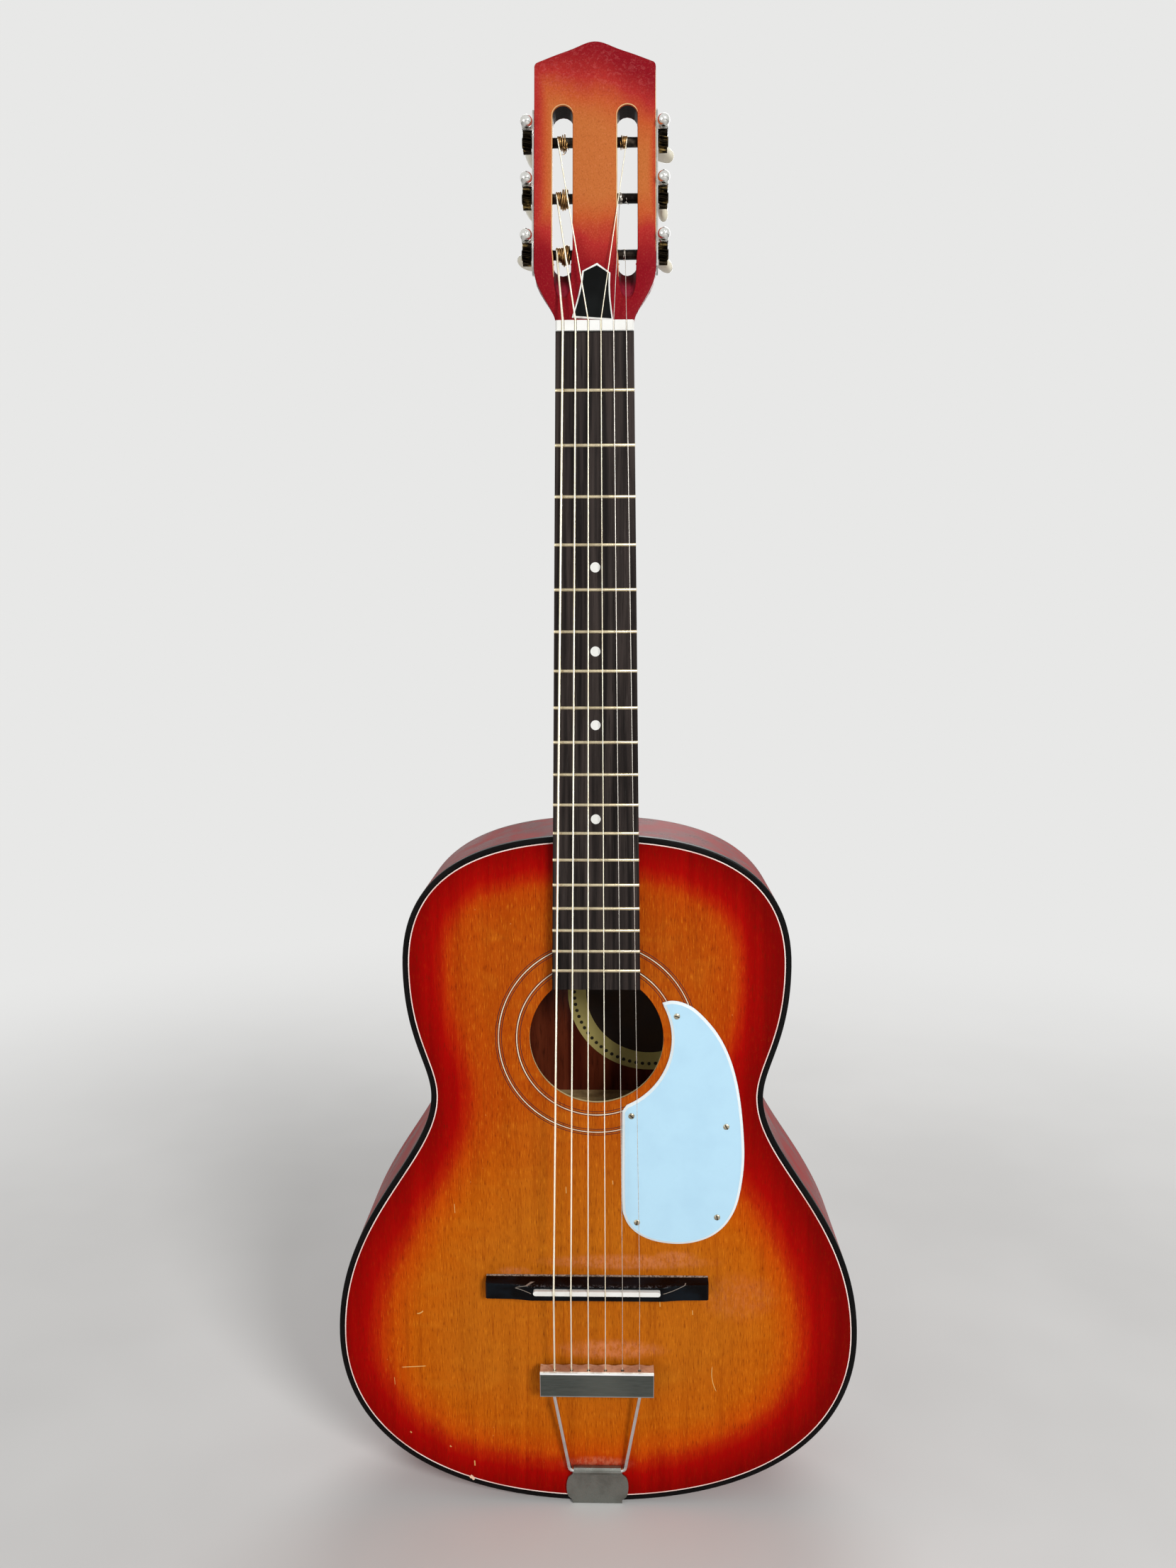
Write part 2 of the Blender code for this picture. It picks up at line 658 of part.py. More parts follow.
# Neck
def ring(half_width, depth, squareness, tip_share):
    """Points of a neck section, from one top corner round the back to the other."""
    points = []
    for k in range(NECK_SIDES + 1):
        angle = math.pi * k / NECK_SIDES
        cosine = round(math.cos(angle), 9)
        across = math.copysign(abs(cosine) ** squareness, cosine)
        down = abs(math.sin(angle)) ** squareness
        narrowing = 1 - (1 - tip_share) * down ** SECTION_ROUNDING
        points.append((half_width * across * narrowing, depth * down))
    return points


def neck_stations():
    """The sections that the neck is drawn through, from the heel up into the headstock, as world points."""
    heel_z = BODY_LENGTH + GAP
    rings = []
    for share in (0.0, 0.02, 0.06, 0.13, 0.24, 0.40, 0.65, 1.0):
        z = heel_z + HEEL_LENGTH * share
        heel = 1 - math.sqrt(max(0.0, 1 - (1 - share) ** 2))
        depth = NECK_DEPTH_AT_HEEL + (HEEL_DEPTH - NECK_DEPTH_AT_HEEL) * heel
        tip = 1 + (HEEL_TIP_WIDTH / BOARD_WIDTH_AT_JOINT - 1) * min(1.0, heel * HEEL_NARROWING)
        filling = HEEL_FILLING * min(1.0, heel * HEEL_FILLING_ONSET)
        section = ring(board_half_width(z), depth, 1 - filling, tip)
        rings.append([(x, y, z) for x, y in section])
    section = ring(board_half_width(NUT_Z), NECK_DEPTH_AT_NUT, 1.0, 1.0)
    rings.append([(x, y, NUT_Z) for x, y in section])
    place = head.matrix_world
    for share in (0.0, 0.16, 0.33, 0.50, 0.66, 0.82, 1.0):
        flare = share ** HEAD_FLARE_ONSET
        flare = flare * flare * (3 - 2 * flare)
        half = BOARD_WIDTH_AT_NUT / 2 + (HEAD_WIDTH - BOARD_WIDTH_AT_NUT) / 2 * flare
        depth = NECK_DEPTH_AT_NUT + (HEAD_THICKNESS - NECK_DEPTH_AT_NUT) * share
        tuck = 0.00001 if share == 1.0 else 0.0
        section = ring(half - tuck, depth - 2 * tuck, 1 - HEAD_SQUARING * share, 1.0)
        rings.append([tuple(place @ Vector((x, y + tuck, HEAD_FLARE * share))) for x, y in section])
    return rings


def head_outline():
    """Outline of the plank from the end of the flare to the tip, in the headstock's own plane."""
    half = HEAD_WIDTH / 2
    start = HEAD_FLARE - 0.0002
    radius = HEAD_CORNER_RADIUS
    corner = circle(radius, 4, (half - radius, HEAD_CORNER - radius), 0.0, math.radians(75))
    low = corner[-1]
    climb = HEAD_TIP - low[1]
    crest = [(low[0] * (1 - share), low[1] + climb * rise) for share, rise in HEAD_CREST]
    ridge = [low] + crest + [(0.0, HEAD_TIP)] + [(-x, u) for x, u in reversed([low] + crest)]
    right = [(half, start)] + corner[:-1]
    return right + smooth_through(ridge, 3) + [(-x, u) for x, u in reversed(right)]


def slot_loop(side):
    """A slot with round ends."""
    radius = SLOT_WIDTH / 2
    centre = side * SLOT_CENTRE
    top = circle(radius, 8, (centre, SLOT_TOP - radius), 0.0, math.pi)
    bottom = circle(radius, 8, (centre, SLOT_BOTTOM + radius), math.pi, math.pi)
    return top + bottom


def ramp_mesh():
    """Round-bottomed troughs that lead the strings from the nut down into the slots."""
    bm = bmesh.new()
    radius = SLOT_WIDTH / 2 - 0.00005
    rise = HEAD_THICKNESS
    run = SLOT_BOTTOM + SLOT_WIDTH / 2 - RAMP_START
    slope = Vector((0, rise, run)).normalized()
    lift = Vector((0, -slope.z, slope.y)) * radius
    for side in (-1, 1):
        foot = Vector((side * SLOT_CENTRE, 0, RAMP_START)) + lift
        add_rod(bm, foot - slope * 0.012, foot + slope * 0.026, radius, 20)
    return mesh_of(bm, "ramp")


def roller_hole_mesh():
    bm = bmesh.new()
    inner = SLOT_CENTRE - SLOT_WIDTH / 2 - ROLLER_SEAT - GAP
    for side in (-1, 1):
        for number in range(3):
            u = ROLLER_FIRST + ROLLER_SPACING * number
            add_rod(bm, (side * inner, ROLLER_Y, u), (side * (HEAD_WIDTH / 2 + 0.002), ROLLER_Y, u),
                    ROLLER_RADIUS + GAP, ROLLER_SIDES)
    return mesh_of(bm, "roller_holes")


def steel_bar_box(clearance):
    """Corners of the steel bar let into the neck, or of the channel that holds it, open to the front."""
    half = STEEL_BAR_WIDTH / 2 + clearance
    low_z = BODY_LENGTH + STEEL_BAR_MARGIN - clearance
    high_z = NUT_Z - STEEL_BAR_MARGIN + clearance
    front = -GAP if clearance else GAP
    return (-half, front, low_z), (half, GAP + STEEL_BAR_DEPTH + clearance, high_z)


def make_neck():
    bm = bmesh.new()
    rings = [[bm.verts.new(p) for p in section] for section in neck_stations()]
    for lower, upper in zip(rings, rings[1:]):
        for k in range(len(lower)):
            after = (k + 1) % len(lower)
            bm.faces.new((lower[k], lower[after], upper[after], upper[k]))
    bm.faces.new(rings[0])
    bm.faces.new(rings[-1])
    neck = finish("neck", mesh_of(bm, "neck"), RED_WOOD)
    plank = flat_mesh("plank", [head_outline()], HEAD_THICKNESS)
    plank.transform(Matrix.Translation((0, HEAD_THICKNESS / 2, 0)) @ FACE_ON)
    shape_with(neck, guide_object("neck_plank", plank, parent=head), "UNION")
    shape_with(neck, guide_object("neck_tenon", tenon_mesh("tenon", 0)), "UNION")
    slots = flat_mesh("slots", [slot_loop(-1), slot_loop(1)], HEAD_THICKNESS * 2)
    slots.transform(Matrix.Translation((0, HEAD_THICKNESS / 2, 0)) @ FACE_ON)
    shape_with(neck, guide_object("neck_slots", slots, parent=head), "DIFFERENCE")
    shape_with(neck, guide_object("neck_ramps", ramp_mesh(), parent=head), "DIFFERENCE")
    shape_with(neck, guide_object("neck_roller_holes", roller_hole_mesh(), parent=head), "DIFFERENCE")
    bm = bmesh.new()
    add_box(bm, *steel_bar_box(GAP))
    shape_with(neck, guide_object("neck_bar_channel", mesh_of(bm, "channel")), "DIFFERENCE")
    bm = bmesh.new()
    add_box(bm, *steel_bar_box(0))
    finish("neck_steel_bar", mesh_of(bm, "neck_steel_bar"), DARK_STEEL, smooth=0)


def make_fingerboard():
    """The board with its frets, drawn as a side profile, and then tapered towards the nut."""
    profile = [(-GAP, BOARD_END_Z), (-BOARD_TOP, BOARD_END_Z)]
    for number in range(FRET_COUNT, 0, -1):
        z = NUT_Z - fret_distance(number)
        for offset, height in ((-FRET_WIDTH / 2, 0), (-FRET_CROWN / 2, FRET_HEIGHT),
                               (FRET_CROWN / 2, FRET_HEIGHT), (FRET_WIDTH / 2, 0)):
            profile.append((-BOARD_TOP - height, z + offset))
    profile += [(-BOARD_TOP, NUT_Z - GAP), (-GAP, NUT_Z - GAP)]
    unit_width = 2.0
    mesh = flat_mesh("fingerboard", [profile], unit_width)
    mesh.transform(SIDE_ON)
    for vertex in mesh.vertices:
        vertex.co.x *= board_half_width(vertex.co.z)
    finish("fingerboard", mesh, DARK_WOOD, smooth=0)


# Strings run from the tailpiece over the saddle and the nut to their rollers
def string_x(number, spread):
    """Where a string lies across the guitar; string 0 is the low one, on the left."""
    return -spread / 2 + spread * number / 5


def roller_of(number):
    """Side and roller of a string: the outer strings take the rollers nearest the nut."""
    side = -1 if number < 3 else 1
    place = number if number < 3 else 5 - number
    return side, ROLLER_FIRST + ROLLER_SPACING * place


def winding_radius(number):
    """Distance from a roller's axis to the middle of the string wound round it."""
    return ROLLER_RADIUS + GAP + STRING_DIAMETERS[number] / 2


def string_route(number):
    """Points of a string from its hole in the tailpiece to the place where it meets its roller's front."""
    radius = STRING_DIAMETERS[number] / 2
    hole = Vector((string_x(number, SPREAD_AT_SADDLE), -STRING_HOLE_HEIGHT, BAR_FRONT))
    saddle = Vector((hole.x, -(SADDLE_TOP + GAP + radius), SADDLE_Z))
    nut = Vector((string_x(number, SPREAD_AT_NUT), -(NUT_REST + GAP + radius), NUT_Z))
    behind = nut + Vector((0, 0, NUT_THICKNESS))
    side, u = roller_of(number)
    wound = winding_radius(number)
    start = head.matrix_world.inverted() @ behind
    across, up = ROLLER_Y - start.y, u - start.z
    turn = math.atan2(across, up) - math.asin(wound / math.hypot(across, up))
    lifted, passed = wound * math.cos(turn), wound * math.sin(turn)
    meets = head.matrix_world @ Vector((side * STRING_AT_ROLLER[number], ROLLER_Y - lifted, u + passed))
    return hole, saddle, nut, behind, meets, turn


def make_strings():
    for number, diameter in enumerate(STRING_DIAMETERS):
        hole, saddle, nut, behind, meets, _ = string_route(number)
        radius = diameter / 2
        free = math.sqrt(diameter ** 2 + 4 * winding_radius(number) * radius) + GAP
        end = meets + (behind - meets).normalized() * free
        swell = BALL_END_RADIUS / radius
        under = BAR_SHEET + GAP
        ball = [hole - Vector((0, 0, under + back))
                for back in (BALL_END_LENGTH, BALL_END_LENGTH - BALL_END_TAPER, BALL_END_TAPER, 0.0)]
        radii = [0.6 * swell, swell, swell, 1.0] + [1.0] * 5
        mesh = tube_mesh(f"string_{number + 1}", ball + [hole, saddle, nut, behind, end], radius, 2, radii)
        finish(f"string_{number + 1}", mesh, BRONZE if number < 4 else STEEL, smooth=60)


def winding_points(number):
    """The string's turns round its roller, about the roller's own axis, from where it comes off the nut."""
    side, _ = roller_of(number)
    diameter = STRING_DIAMETERS[number]
    radius = winding_radius(number)
    step = diameter + LOOP_SPACE
    *_, behind, meets, first = string_route(number)
    points = []
    for k in range(WINDING_LOOPS[number] * LOOP_STEPS + 1):
        turn = first + 2 * math.pi * k / LOOP_STEPS
        along = WINDING_WAY[number] * side * step * k / LOOP_STEPS
        points.append(Vector((along, -radius * math.cos(turn), radius * math.sin(turn))))
    back = (head.matrix_world.inverted() @ behind - head.matrix_world.inverted() @ meets).normalized()
    tail = Vector((0, math.sin(first), math.cos(first)))
    return [points[0] + back * diameter] + points + [points[-1] + tail * diameter]


def least_gap(points, diameter):
    """The smallest clear distance between one turn and another."""
    apart = LOOP_STEPS // 2
    pairs = ((a, b) for a in range(len(points)) for b in range(a + apart, len(points)))
    return min((points[a] - points[b]).length for a, b in pairs) - diameter


def make_windings():
    for number, diameter in enumerate(STRING_DIAMETERS):
        side, u = roller_of(number)
        points = winding_points(number)
        print(f"winding {number + 1}: least gap to itself {least_gap(points, diameter) * 1000:.2f} mm")
        mesh = tube_mesh(f"winding_{number + 1}", points, diameter / 2, 1)
        place = Matrix.Translation((side * STRING_AT_ROLLER[number], ROLLER_Y, u))
        finish(f"winding_{number + 1}", mesh, BRONZE if number < 4 else STEEL, place, head, 60)


# Nut, bridge and saddle
def make_nut():
    top = NUT_REST + NUT_ABOVE_REST
    half = BOARD_WIDTH_AT_NUT / 2
    chamfer = 0.001
    past = 0.001
    right = [(half, -GAP), (half, -top + chamfer), (half - chamfer, -top)]
    mesh = flat_mesh("nut", [right + [(-x, y) for x, y in reversed(right)]], NUT_THICKNESS)
    mesh.transform(Matrix.Translation((0, 0, NUT_Z + NUT_THICKNESS / 2)))
    nut = finish("nut", mesh, WHITE, smooth=0)
    bm = bmesh.new()
    for number, diameter in enumerate(STRING_DIAMETERS):
        x = string_x(number, SPREAD_AT_NUT)
        half = diameter / 2 + GAP
        far = NUT_Z + NUT_THICKNESS + past
        add_box(bm, (x - half, -top - past, NUT_Z - past), (x + half, -NUT_REST, far))
    shape_with(nut, guide_object("nut_notches", mesh_of(bm, "notches")), "DIFFERENCE")


def make_bridge():
    """A bar drawn from the neck end: a raised crest that falls in a scoop to two thin wings."""
    half = BRIDGE_LENGTH / 2
    crest = BRIDGE_CREST / 2
    drop = BRIDGE_HEIGHT - BRIDGE_END_HEIGHT
    scoop = []
    for k in range(BRIDGE_SCOOP_STEPS + 1):
        share = k / BRIDGE_SCOOP_STEPS
        scoop.append((crest + BRIDGE_SHOULDER * share, BRIDGE_HEIGHT - drop * math.sin(share * math.pi / 2)))
    tip_height = BRIDGE_END_HEIGHT - BRIDGE_WING_FALL
    tip = [(half, tip_height - BRIDGE_TIP_CHAMFER), (half - BRIDGE_TIP_CHAMFER, tip_height)]
    right = [(half, 0.0)] + tip + scoop[::-1]
    loop = right + [(-x, y) for x, y in reversed(right)]
    mesh = flat_mesh("bridge", [[(x, -y - GAP) for x, y in loop]], BRIDGE_DEPTH)
    for vertex in mesh.vertices:
        vertex.co.z *= 1 - BRIDGE_LEAN * (-vertex.co.y - GAP) / BRIDGE_HEIGHT
    mesh.transform(Matrix.Translation((0, 0, SADDLE_Z - BRIDGE_BELOW_SADDLE)))
    bridge = finish("bridge", mesh, BLACK)
    bm = bmesh.new()
    slot_half = SADDLE_LENGTH / 2 + GAP
    depth_half = SADDLE_THICKNESS / 2 + GAP
    floor = BRIDGE_HEIGHT + GAP - SADDLE_SLOT_DEPTH
    above = SADDLE_TOP + SADDLE_SLOT_DEPTH
    add_box(bm, (-slot_half, -above, SADDLE_Z - depth_half), (slot_half, -floor, SADDLE_Z + depth_half))
    shape_with(bridge, guide_object("saddle_slot", mesh_of(bm, "slot")), "DIFFERENCE")


def make_saddle():
    """A strip with round ends that stands in the bridge's slot."""
    radius = SADDLE_THICKNESS / 2
    centre = SADDLE_LENGTH / 2 - radius
    loop = circle(radius, 6, (centre, 0), -math.pi / 2, math.pi)
    loop += circle(radius, 6, (-centre, 0), math.pi / 2, math.pi)
    foot = BRIDGE_HEIGHT + GAP - SADDLE_SLOT_DEPTH + GAP
    mesh = flat_mesh("saddle", [loop], SADDLE_TOP - foot)
    mesh.transform(Matrix.Translation((0, -(SADDLE_TOP + foot) / 2, SADDLE_Z)) @ FACE_ON)
    finish("saddle", mesh, WHITE)


# Pickguard and headstock plate
def make_pickguard():
    sweep = PICKGUARD_ARC_TO - PICKGUARD_ARC_FROM
    arc = circle(PICKGUARD_ARC_RADIUS, 10, (0, 0), PICKGUARD_ARC_FROM, sweep)
    loop = smooth_through(PICKGUARD_EDGE, 2) + arc[::-1]
    mesh = flat_mesh("pickguard", [[(x, HOLE_Z + z) for x, z in loop]], PICKGUARD_THICKNESS)
    mesh.transform(Matrix.Translation((0, -GAP - PICKGUARD_THICKNESS / 2, 0)) @ FACE_ON)
    finish("pickguard", mesh, PALE_BLUE, smooth=0)


def make_badge():
    half = BADGE_WIDTH / 2
    shoulder = BADGE_SHOULDER_WIDTH / 2
    side = []
    for k in range(5):
        share = k / 4
        side.append((half + (shoulder - half) * math.sin(share * math.pi / 2),
                     BADGE_START + (BADGE_SHOULDER - BADGE_START) * share))
    loop = side + [(0, BADGE_TIP)] + [(-x, u) for x, u in reversed(side)]
    mesh = flat_mesh("headstock_badge", [loop], BADGE_THICKNESS)
    centre = Matrix.Translation((0, 0, (BADGE_START + BADGE_TIP) / 2))
    tilt = centre @ Matrix.Rotation(BADGE_TILT, 4, "Y") @ centre.inverted()
    mesh.transform(tilt @ Matrix.Translation((0, -GAP - BADGE_THICKNESS / 2, 0)) @ FACE_ON)
    finish("headstock_badge", mesh, BLACK, parent=head, smooth=0)


# Tuners
def gear_loop():
    """Outline of the worm gear, with a gap between teeth on the side that faces the worm."""
    root = GEAR_RADIUS - THREAD_DEDENDUM
    tip = GEAR_RADIUS + THREAD_ADDENDUM
    pitch_angle = 2 * math.pi / GEAR_TEETH
    points = []
    for tooth in range(GEAR_TEETH):
        middle = math.pi / 2 + pitch_angle * (tooth + 0.5)
        for height, edge in ((root, -1), (tip, -1), (tip, 1), (root, 1)):
            half = THREAD_WIDTH / 2 - (height - GEAR_RADIUS) * math.tan(PRESSURE_ANGLE)
            angle = middle + edge * half / height
            points.append((height * math.cos(angle), height * math.sin(angle)))
    return points


def make_rollers():
    """A roller across its slot with the gear on its outer end, about its own axis."""
    lead = math.atan(WORM_PITCH / (2 * math.pi * WORM_PITCH_RADIUS))
    inner = SLOT_CENTRE - SLOT_WIDTH / 2 - ROLLER_SEAT
    for side, word in ((-1, "left"), (1, "right")):
        for number in range(3):
            u = ROLLER_FIRST + ROLLER_SPACING * number
            name = f"roller_gear_{word}_{number + 1}"
            mesh = flat_mesh(name, [gear_loop()], GEAR_WIDTH)
            mesh.transform(SIDE_ON)
            for vertex in mesh.vertices:
                twist = vertex.co.x * math.tan(lead) / GEAR_RADIUS
                vertex.co = Matrix.Rotation(twist, 3, "X") @ vertex.co
                vertex.co.x += side * GEAR_X
            roller = finish(name, mesh, DARK_STEEL, Matrix.Translation((0, ROLLER_Y, u)), head)
            bm = bmesh.new()
            add_rod(bm, (side * inner, 0, 0), (side * (GEAR_X + GEAR_WIDTH / 2 + 0.0006), 0, 0),
                    ROLLER_RADIUS, ROLLER_SIDES)
            rod = guide_object(f"{name}_rod", mesh_of(bm, name), Matrix.Translation((0, ROLLER_Y, u)), head)
            shape_with(roller, rod, "UNION")


def thread_mesh(name):
    """The worm's thread, a slanted-sided ridge spun round +Z, with a turn's middle facing the gear at +Y."""
    bm = bmesh.new()
    lowest = -WORM_PITCH * (THREAD_TURNS // 2 + 0.5)
    corners = []
    for height, edge in ((WORM_SHAFT_RADIUS * 0.7, -1), (WORM_TIP_RADIUS, -1),
                         (WORM_TIP_RADIUS, 1), (WORM_SHAFT_RADIUS * 0.7, 1)):
        half = THREAD_WIDTH / 2 - (height - WORM_PITCH_RADIUS) * math.tan(PRESSURE_ANGLE)
        corners.append(bm.verts.new((0, -height, lowest + edge * half)))
    face = bm.faces.new(corners)
    offset = math.pi / THREAD_STEPS
    bmesh.ops.rotate(bm, verts=corners, cent=(0, 0, 0), matrix=Matrix.Rotation(offset, 3, "Z"))
    bmesh.ops.translate(bm, verts=corners, vec=(0, 0, WORM_PITCH * offset / (2 * math.pi)))
    bmesh.ops.spin(bm, geom=[face] + list(face.edges) + corners, cent=(0, 0, 0), axis=(0, 0, 1),
                   dvec=(0, 0, WORM_PITCH / THREAD_STEPS), angle=2 * math.pi * THREAD_TURNS,
                   steps=THREAD_TURNS * THREAD_STEPS)
    return mesh_of(bm, name)


def worm_profile():
    """Half outline of the shaft, the collar and the ball, as radius and height from the button's end down."""
    front = PLATE_FRONT - ROLLER_Y
    rear = PLATE_BACK - ROLLER_Y
    ball = front - BALL_STAND_OFF - BALL_RADIUS
    neck = math.asin(WORM_SHAFT_RADIUS / BALL_RADIUS)
    steps = 5
    profile = [(0, rear + SHAFT_BEHIND_PLATE), (WORM_SHAFT_RADIUS, rear + SHAFT_BEHIND_PLATE)]
    for radius, height in ((WORM_SHAFT_RADIUS, COLLAR_LENGTH), (COLLAR_RADIUS, COLLAR_LENGTH),
                           (COLLAR_RADIUS, 0), (WORM_SHAFT_RADIUS, 0)):
        profile.append((radius, rear + GAP + height))
    for k in range(steps + 1):
        angle = neck + (math.pi - neck) * k / steps
        radius = BALL_RADIUS * math.sin(angle) if k < steps else 0
        profile.append((radius, ball + BALL_RADIUS * math.cos(angle)))
    return profile


def make_worms():
    """Worms with a ball in front and a long shaft behind for the button, each turned about its own axis."""
    for side, word in ((-1, "left"), (1, "right")):
        for number in range(3):
            u = ROLLER_FIRST + ROLLER_SPACING * number + WORM_OFFSET
            place = Matrix.Translation((side * GEAR_X, ROLLER_Y, u)) @ Matrix.Rotation(-math.pi / 2, 4, "X")
            name = f"worm_{word}_{number + 1}"
            bm = bmesh.new()
            line = [bm.verts.new((radius, 0, height)) for radius, height in worm_profile()]
            for pair in zip(line, line[1:]):
                bm.edges.new(pair)
            mesh = bpy.data.meshes.new(name)
            bm.to_mesh(mesh)
            bm.free()
            worm = finish(name, mesh, DARK_STEEL, place, head, smooth=0)
            turned = worm.modifiers.new("turned", "SCREW")
            turned.steps = THREAD_STEPS
            turned.render_steps = THREAD_STEPS
            turned.use_merge_vertices = True
            turned.merge_threshold = 0.00001
            turned.use_normal_calculate = True
            shape_with(worm, guide_object(f"{name}_thread", thread_mesh(name), place, head), "UNION")


def button_mesh(name, turn):
    """A flattened oval knob, fuller at its end than at its neck, along +Y from the neck."""
    bm = bmesh.new()
    bmesh.ops.create_uvsphere(bm, u_segments=12, v_segments=8, radius=1.0)
    for vertex in bm.verts:
        vertex.co = Matrix.Rotation(-math.pi / 2, 3, "X") @ vertex.co
        x, y, z = (math.copysign(abs(c) ** 0.8, c) for c in vertex.co)
        neck = 1 - 0.38 * max(0.0, -y) ** 1.5
        x *= BUTTON_WIDTH / 2 * neck
        z *= BUTTON_THICKNESS / 2 * neck
        vertex.co = (x, (y + 1) * BUTTON_LENGTH / 2, z)
    bmesh.ops.rotate(bm, verts=bm.verts, cent=(0, 0, 0), matrix=Matrix.Rotation(math.radians(turn), 3, "Y"))
    return mesh_of(bm, name)


def make_buttons():
    shaft_end = PLATE_BACK - ROLLER_Y + SHAFT_BEHIND_PLATE
    for index, turn in enumerate(BUTTON_TURNS):
        side, word = ((-1, "left"), (1, "right"))[index // 3]
        number = index % 3
        u = ROLLER_FIRST + ROLLER_SPACING * number + WORM_OFFSET
        place = Matrix.Translation((side * GEAR_X, ROLLER_Y, u))
        name = f"button_{word}_{number + 1}"
        mesh = button_mesh(name, turn)
        mesh.transform(Matrix.Translation((0, shaft_end - BUTTON_ON_SHAFT, 0)))
        button = finish(name, mesh, CREAM, place, head, 60)
        bm = bmesh.new()
        add_rod(bm, (0, shaft_end - BUTTON_ON_SHAFT - 0.004, 0), (0, shaft_end + GAP, 0),
                WORM_SHAFT_RADIUS + GAP, 12)
        shape_with(button, guide_object(f"{name}_hole", mesh_of(bm, name), place, head), "DIFFERENCE")


def make_plates():
    """A strip on each side of the headstock, with two ears bent out of it for each worm."""
    low = ROLLER_FIRST - PLATE_BELOW
    high = ROLLER_FIRST + 2 * ROLLER_SPACING + PLATE_ABOVE
    rollers = [ROLLER_FIRST + ROLLER_SPACING * number for number in range(3)]
    for side, word in ((-1, "left"), (1, "right")):
        name = f"tuner_plate_{word}"
        half = PLATE_WIDTH / 2
        ends = circle(half, 6, (ROLLER_Y, high - half), 0.0, math.pi)
        ends += circle(half, 6, (ROLLER_Y, low + half), math.pi, math.pi)
        holes = [circle(ROLLER_RADIUS + GAP, ROLLER_SIDES, (ROLLER_Y, u)) for u in rollers]
        mesh = flat_mesh(name, [ends] + holes, PLATE_THICKNESS)
        mesh.transform(SIDE_ON)
        mesh.transform(Matrix.Translation((side * (PLATE_X + PLATE_THICKNESS / 2), 0, 0)))
        plate = finish(name, mesh, NICKEL, parent=head, smooth=0)
        for row, y in enumerate((PLATE_FRONT + EAR_THICKNESS / 2, PLATE_BACK - EAR_THICKNESS / 2)):
            loops = []
            for u in rollers:
                centre = (side * GEAR_X, u + WORM_OFFSET)
                tip = circle(EAR_HALF_WIDTH, 6, centre, -math.pi / 2, side * math.pi)
                root = side * (PLATE_X + PLATE_THICKNESS / 2)
                loops.append([(root, tip[0][1])] + tip + [(root, tip[-1][1])])
                loops.append(circle(WORM_SHAFT_RADIUS + GAP, THREAD_STEPS, centre))
            ears = flat_mesh(f"{name}_ears", loops, EAR_THICKNESS)
            ears.transform(Matrix.Translation((0, y, 0)) @ FACE_ON)
            shape_with(plate, guide_object(f"{name}_ears_{row}", ears, parent=head), "UNION")


# Tailpiece
def sheet_mesh(name, rows):
    """An open sheet through rows of points."""
    bm = bmesh.new()
    lines = [[bm.verts.new(p) for p in row] for row in rows]
    for one, two in zip(lines, lines[1:]):
        for k in range(len(one) - 1):
            bm.faces.new((one[k], one[k + 1], two[k + 1], two[k]))
    mesh = bpy.data.meshes.new(name)
    bm.to_mesh(mesh)
    bm.free()
    return mesh


def thicken(piece, thickness, offset):
    shell = piece.modifiers.new("sheet", "SOLIDIFY")
    shell.thickness = thickness
    shell.offset = offset
    shell.use_even_offset = True


def make_tailpiece_bar():
    """A bent sheet: a flange that faces the bridge, its edge scalloped between the strings, and a cover."""
    bm = bmesh.new()
    half = BAR_LENGTH / 2
    between_strings = SPREAD_AT_SADDLE / (len(STRING_DIAMETERS) - 1)
    edge = []
    for k in range(BAR_EDGE_POINTS + 1):
        x = BAR_LENGTH * (k / BAR_EDGE_POINTS - 0.5)
        wave = BAR_SCALLOP * math.cos(2 * math.pi * (x / between_strings + 0.5))
        edge.append(bm.verts.new((x, -BAR_FLANGE_HEIGHT + wave, BAR_FRONT)))
    rows = []
    for y, z in ((-BAR_RIDGE_HEIGHT + BAR_SHEET, BAR_FRONT), (-BAR_RIDGE_HEIGHT, BAR_FRONT - BAR_SHEET),
                 (-BAR_REAR_HEIGHT, BAR_REAR)):
        rows.append((bm.verts.new((-half, y, z)), bm.verts.new((half, y, z))))
    bm.faces.new(edge + [rows[0][1], rows[0][0]])
    for near, far in zip(rows, rows[1:]):
        bm.faces.new((near[0], near[1], far[1], far[0]))
    mesh = bpy.data.meshes.new("tailpiece_bar")
    bm.to_mesh(mesh)
    bm.free()
    bar = finish("tailpiece_bar", mesh, NICKEL, smooth=50)
    thicken(bar, BAR_SHEET, 1)
    bm = bmesh.new()
    for number in range(len(STRING_DIAMETERS)):
        x = string_x(number, SPREAD_AT_SADDLE)
        through = 0.003
        ends = [(x, -STRING_HOLE_HEIGHT, BAR_FRONT + past) for past in (-through, through)]
        add_rod(bm, *ends, STRING_HOLE_RADIUS, 10)
    shape_with(bar, guide_object("bar_string_holes", mesh_of(bm, "holes")), "DIFFERENCE")


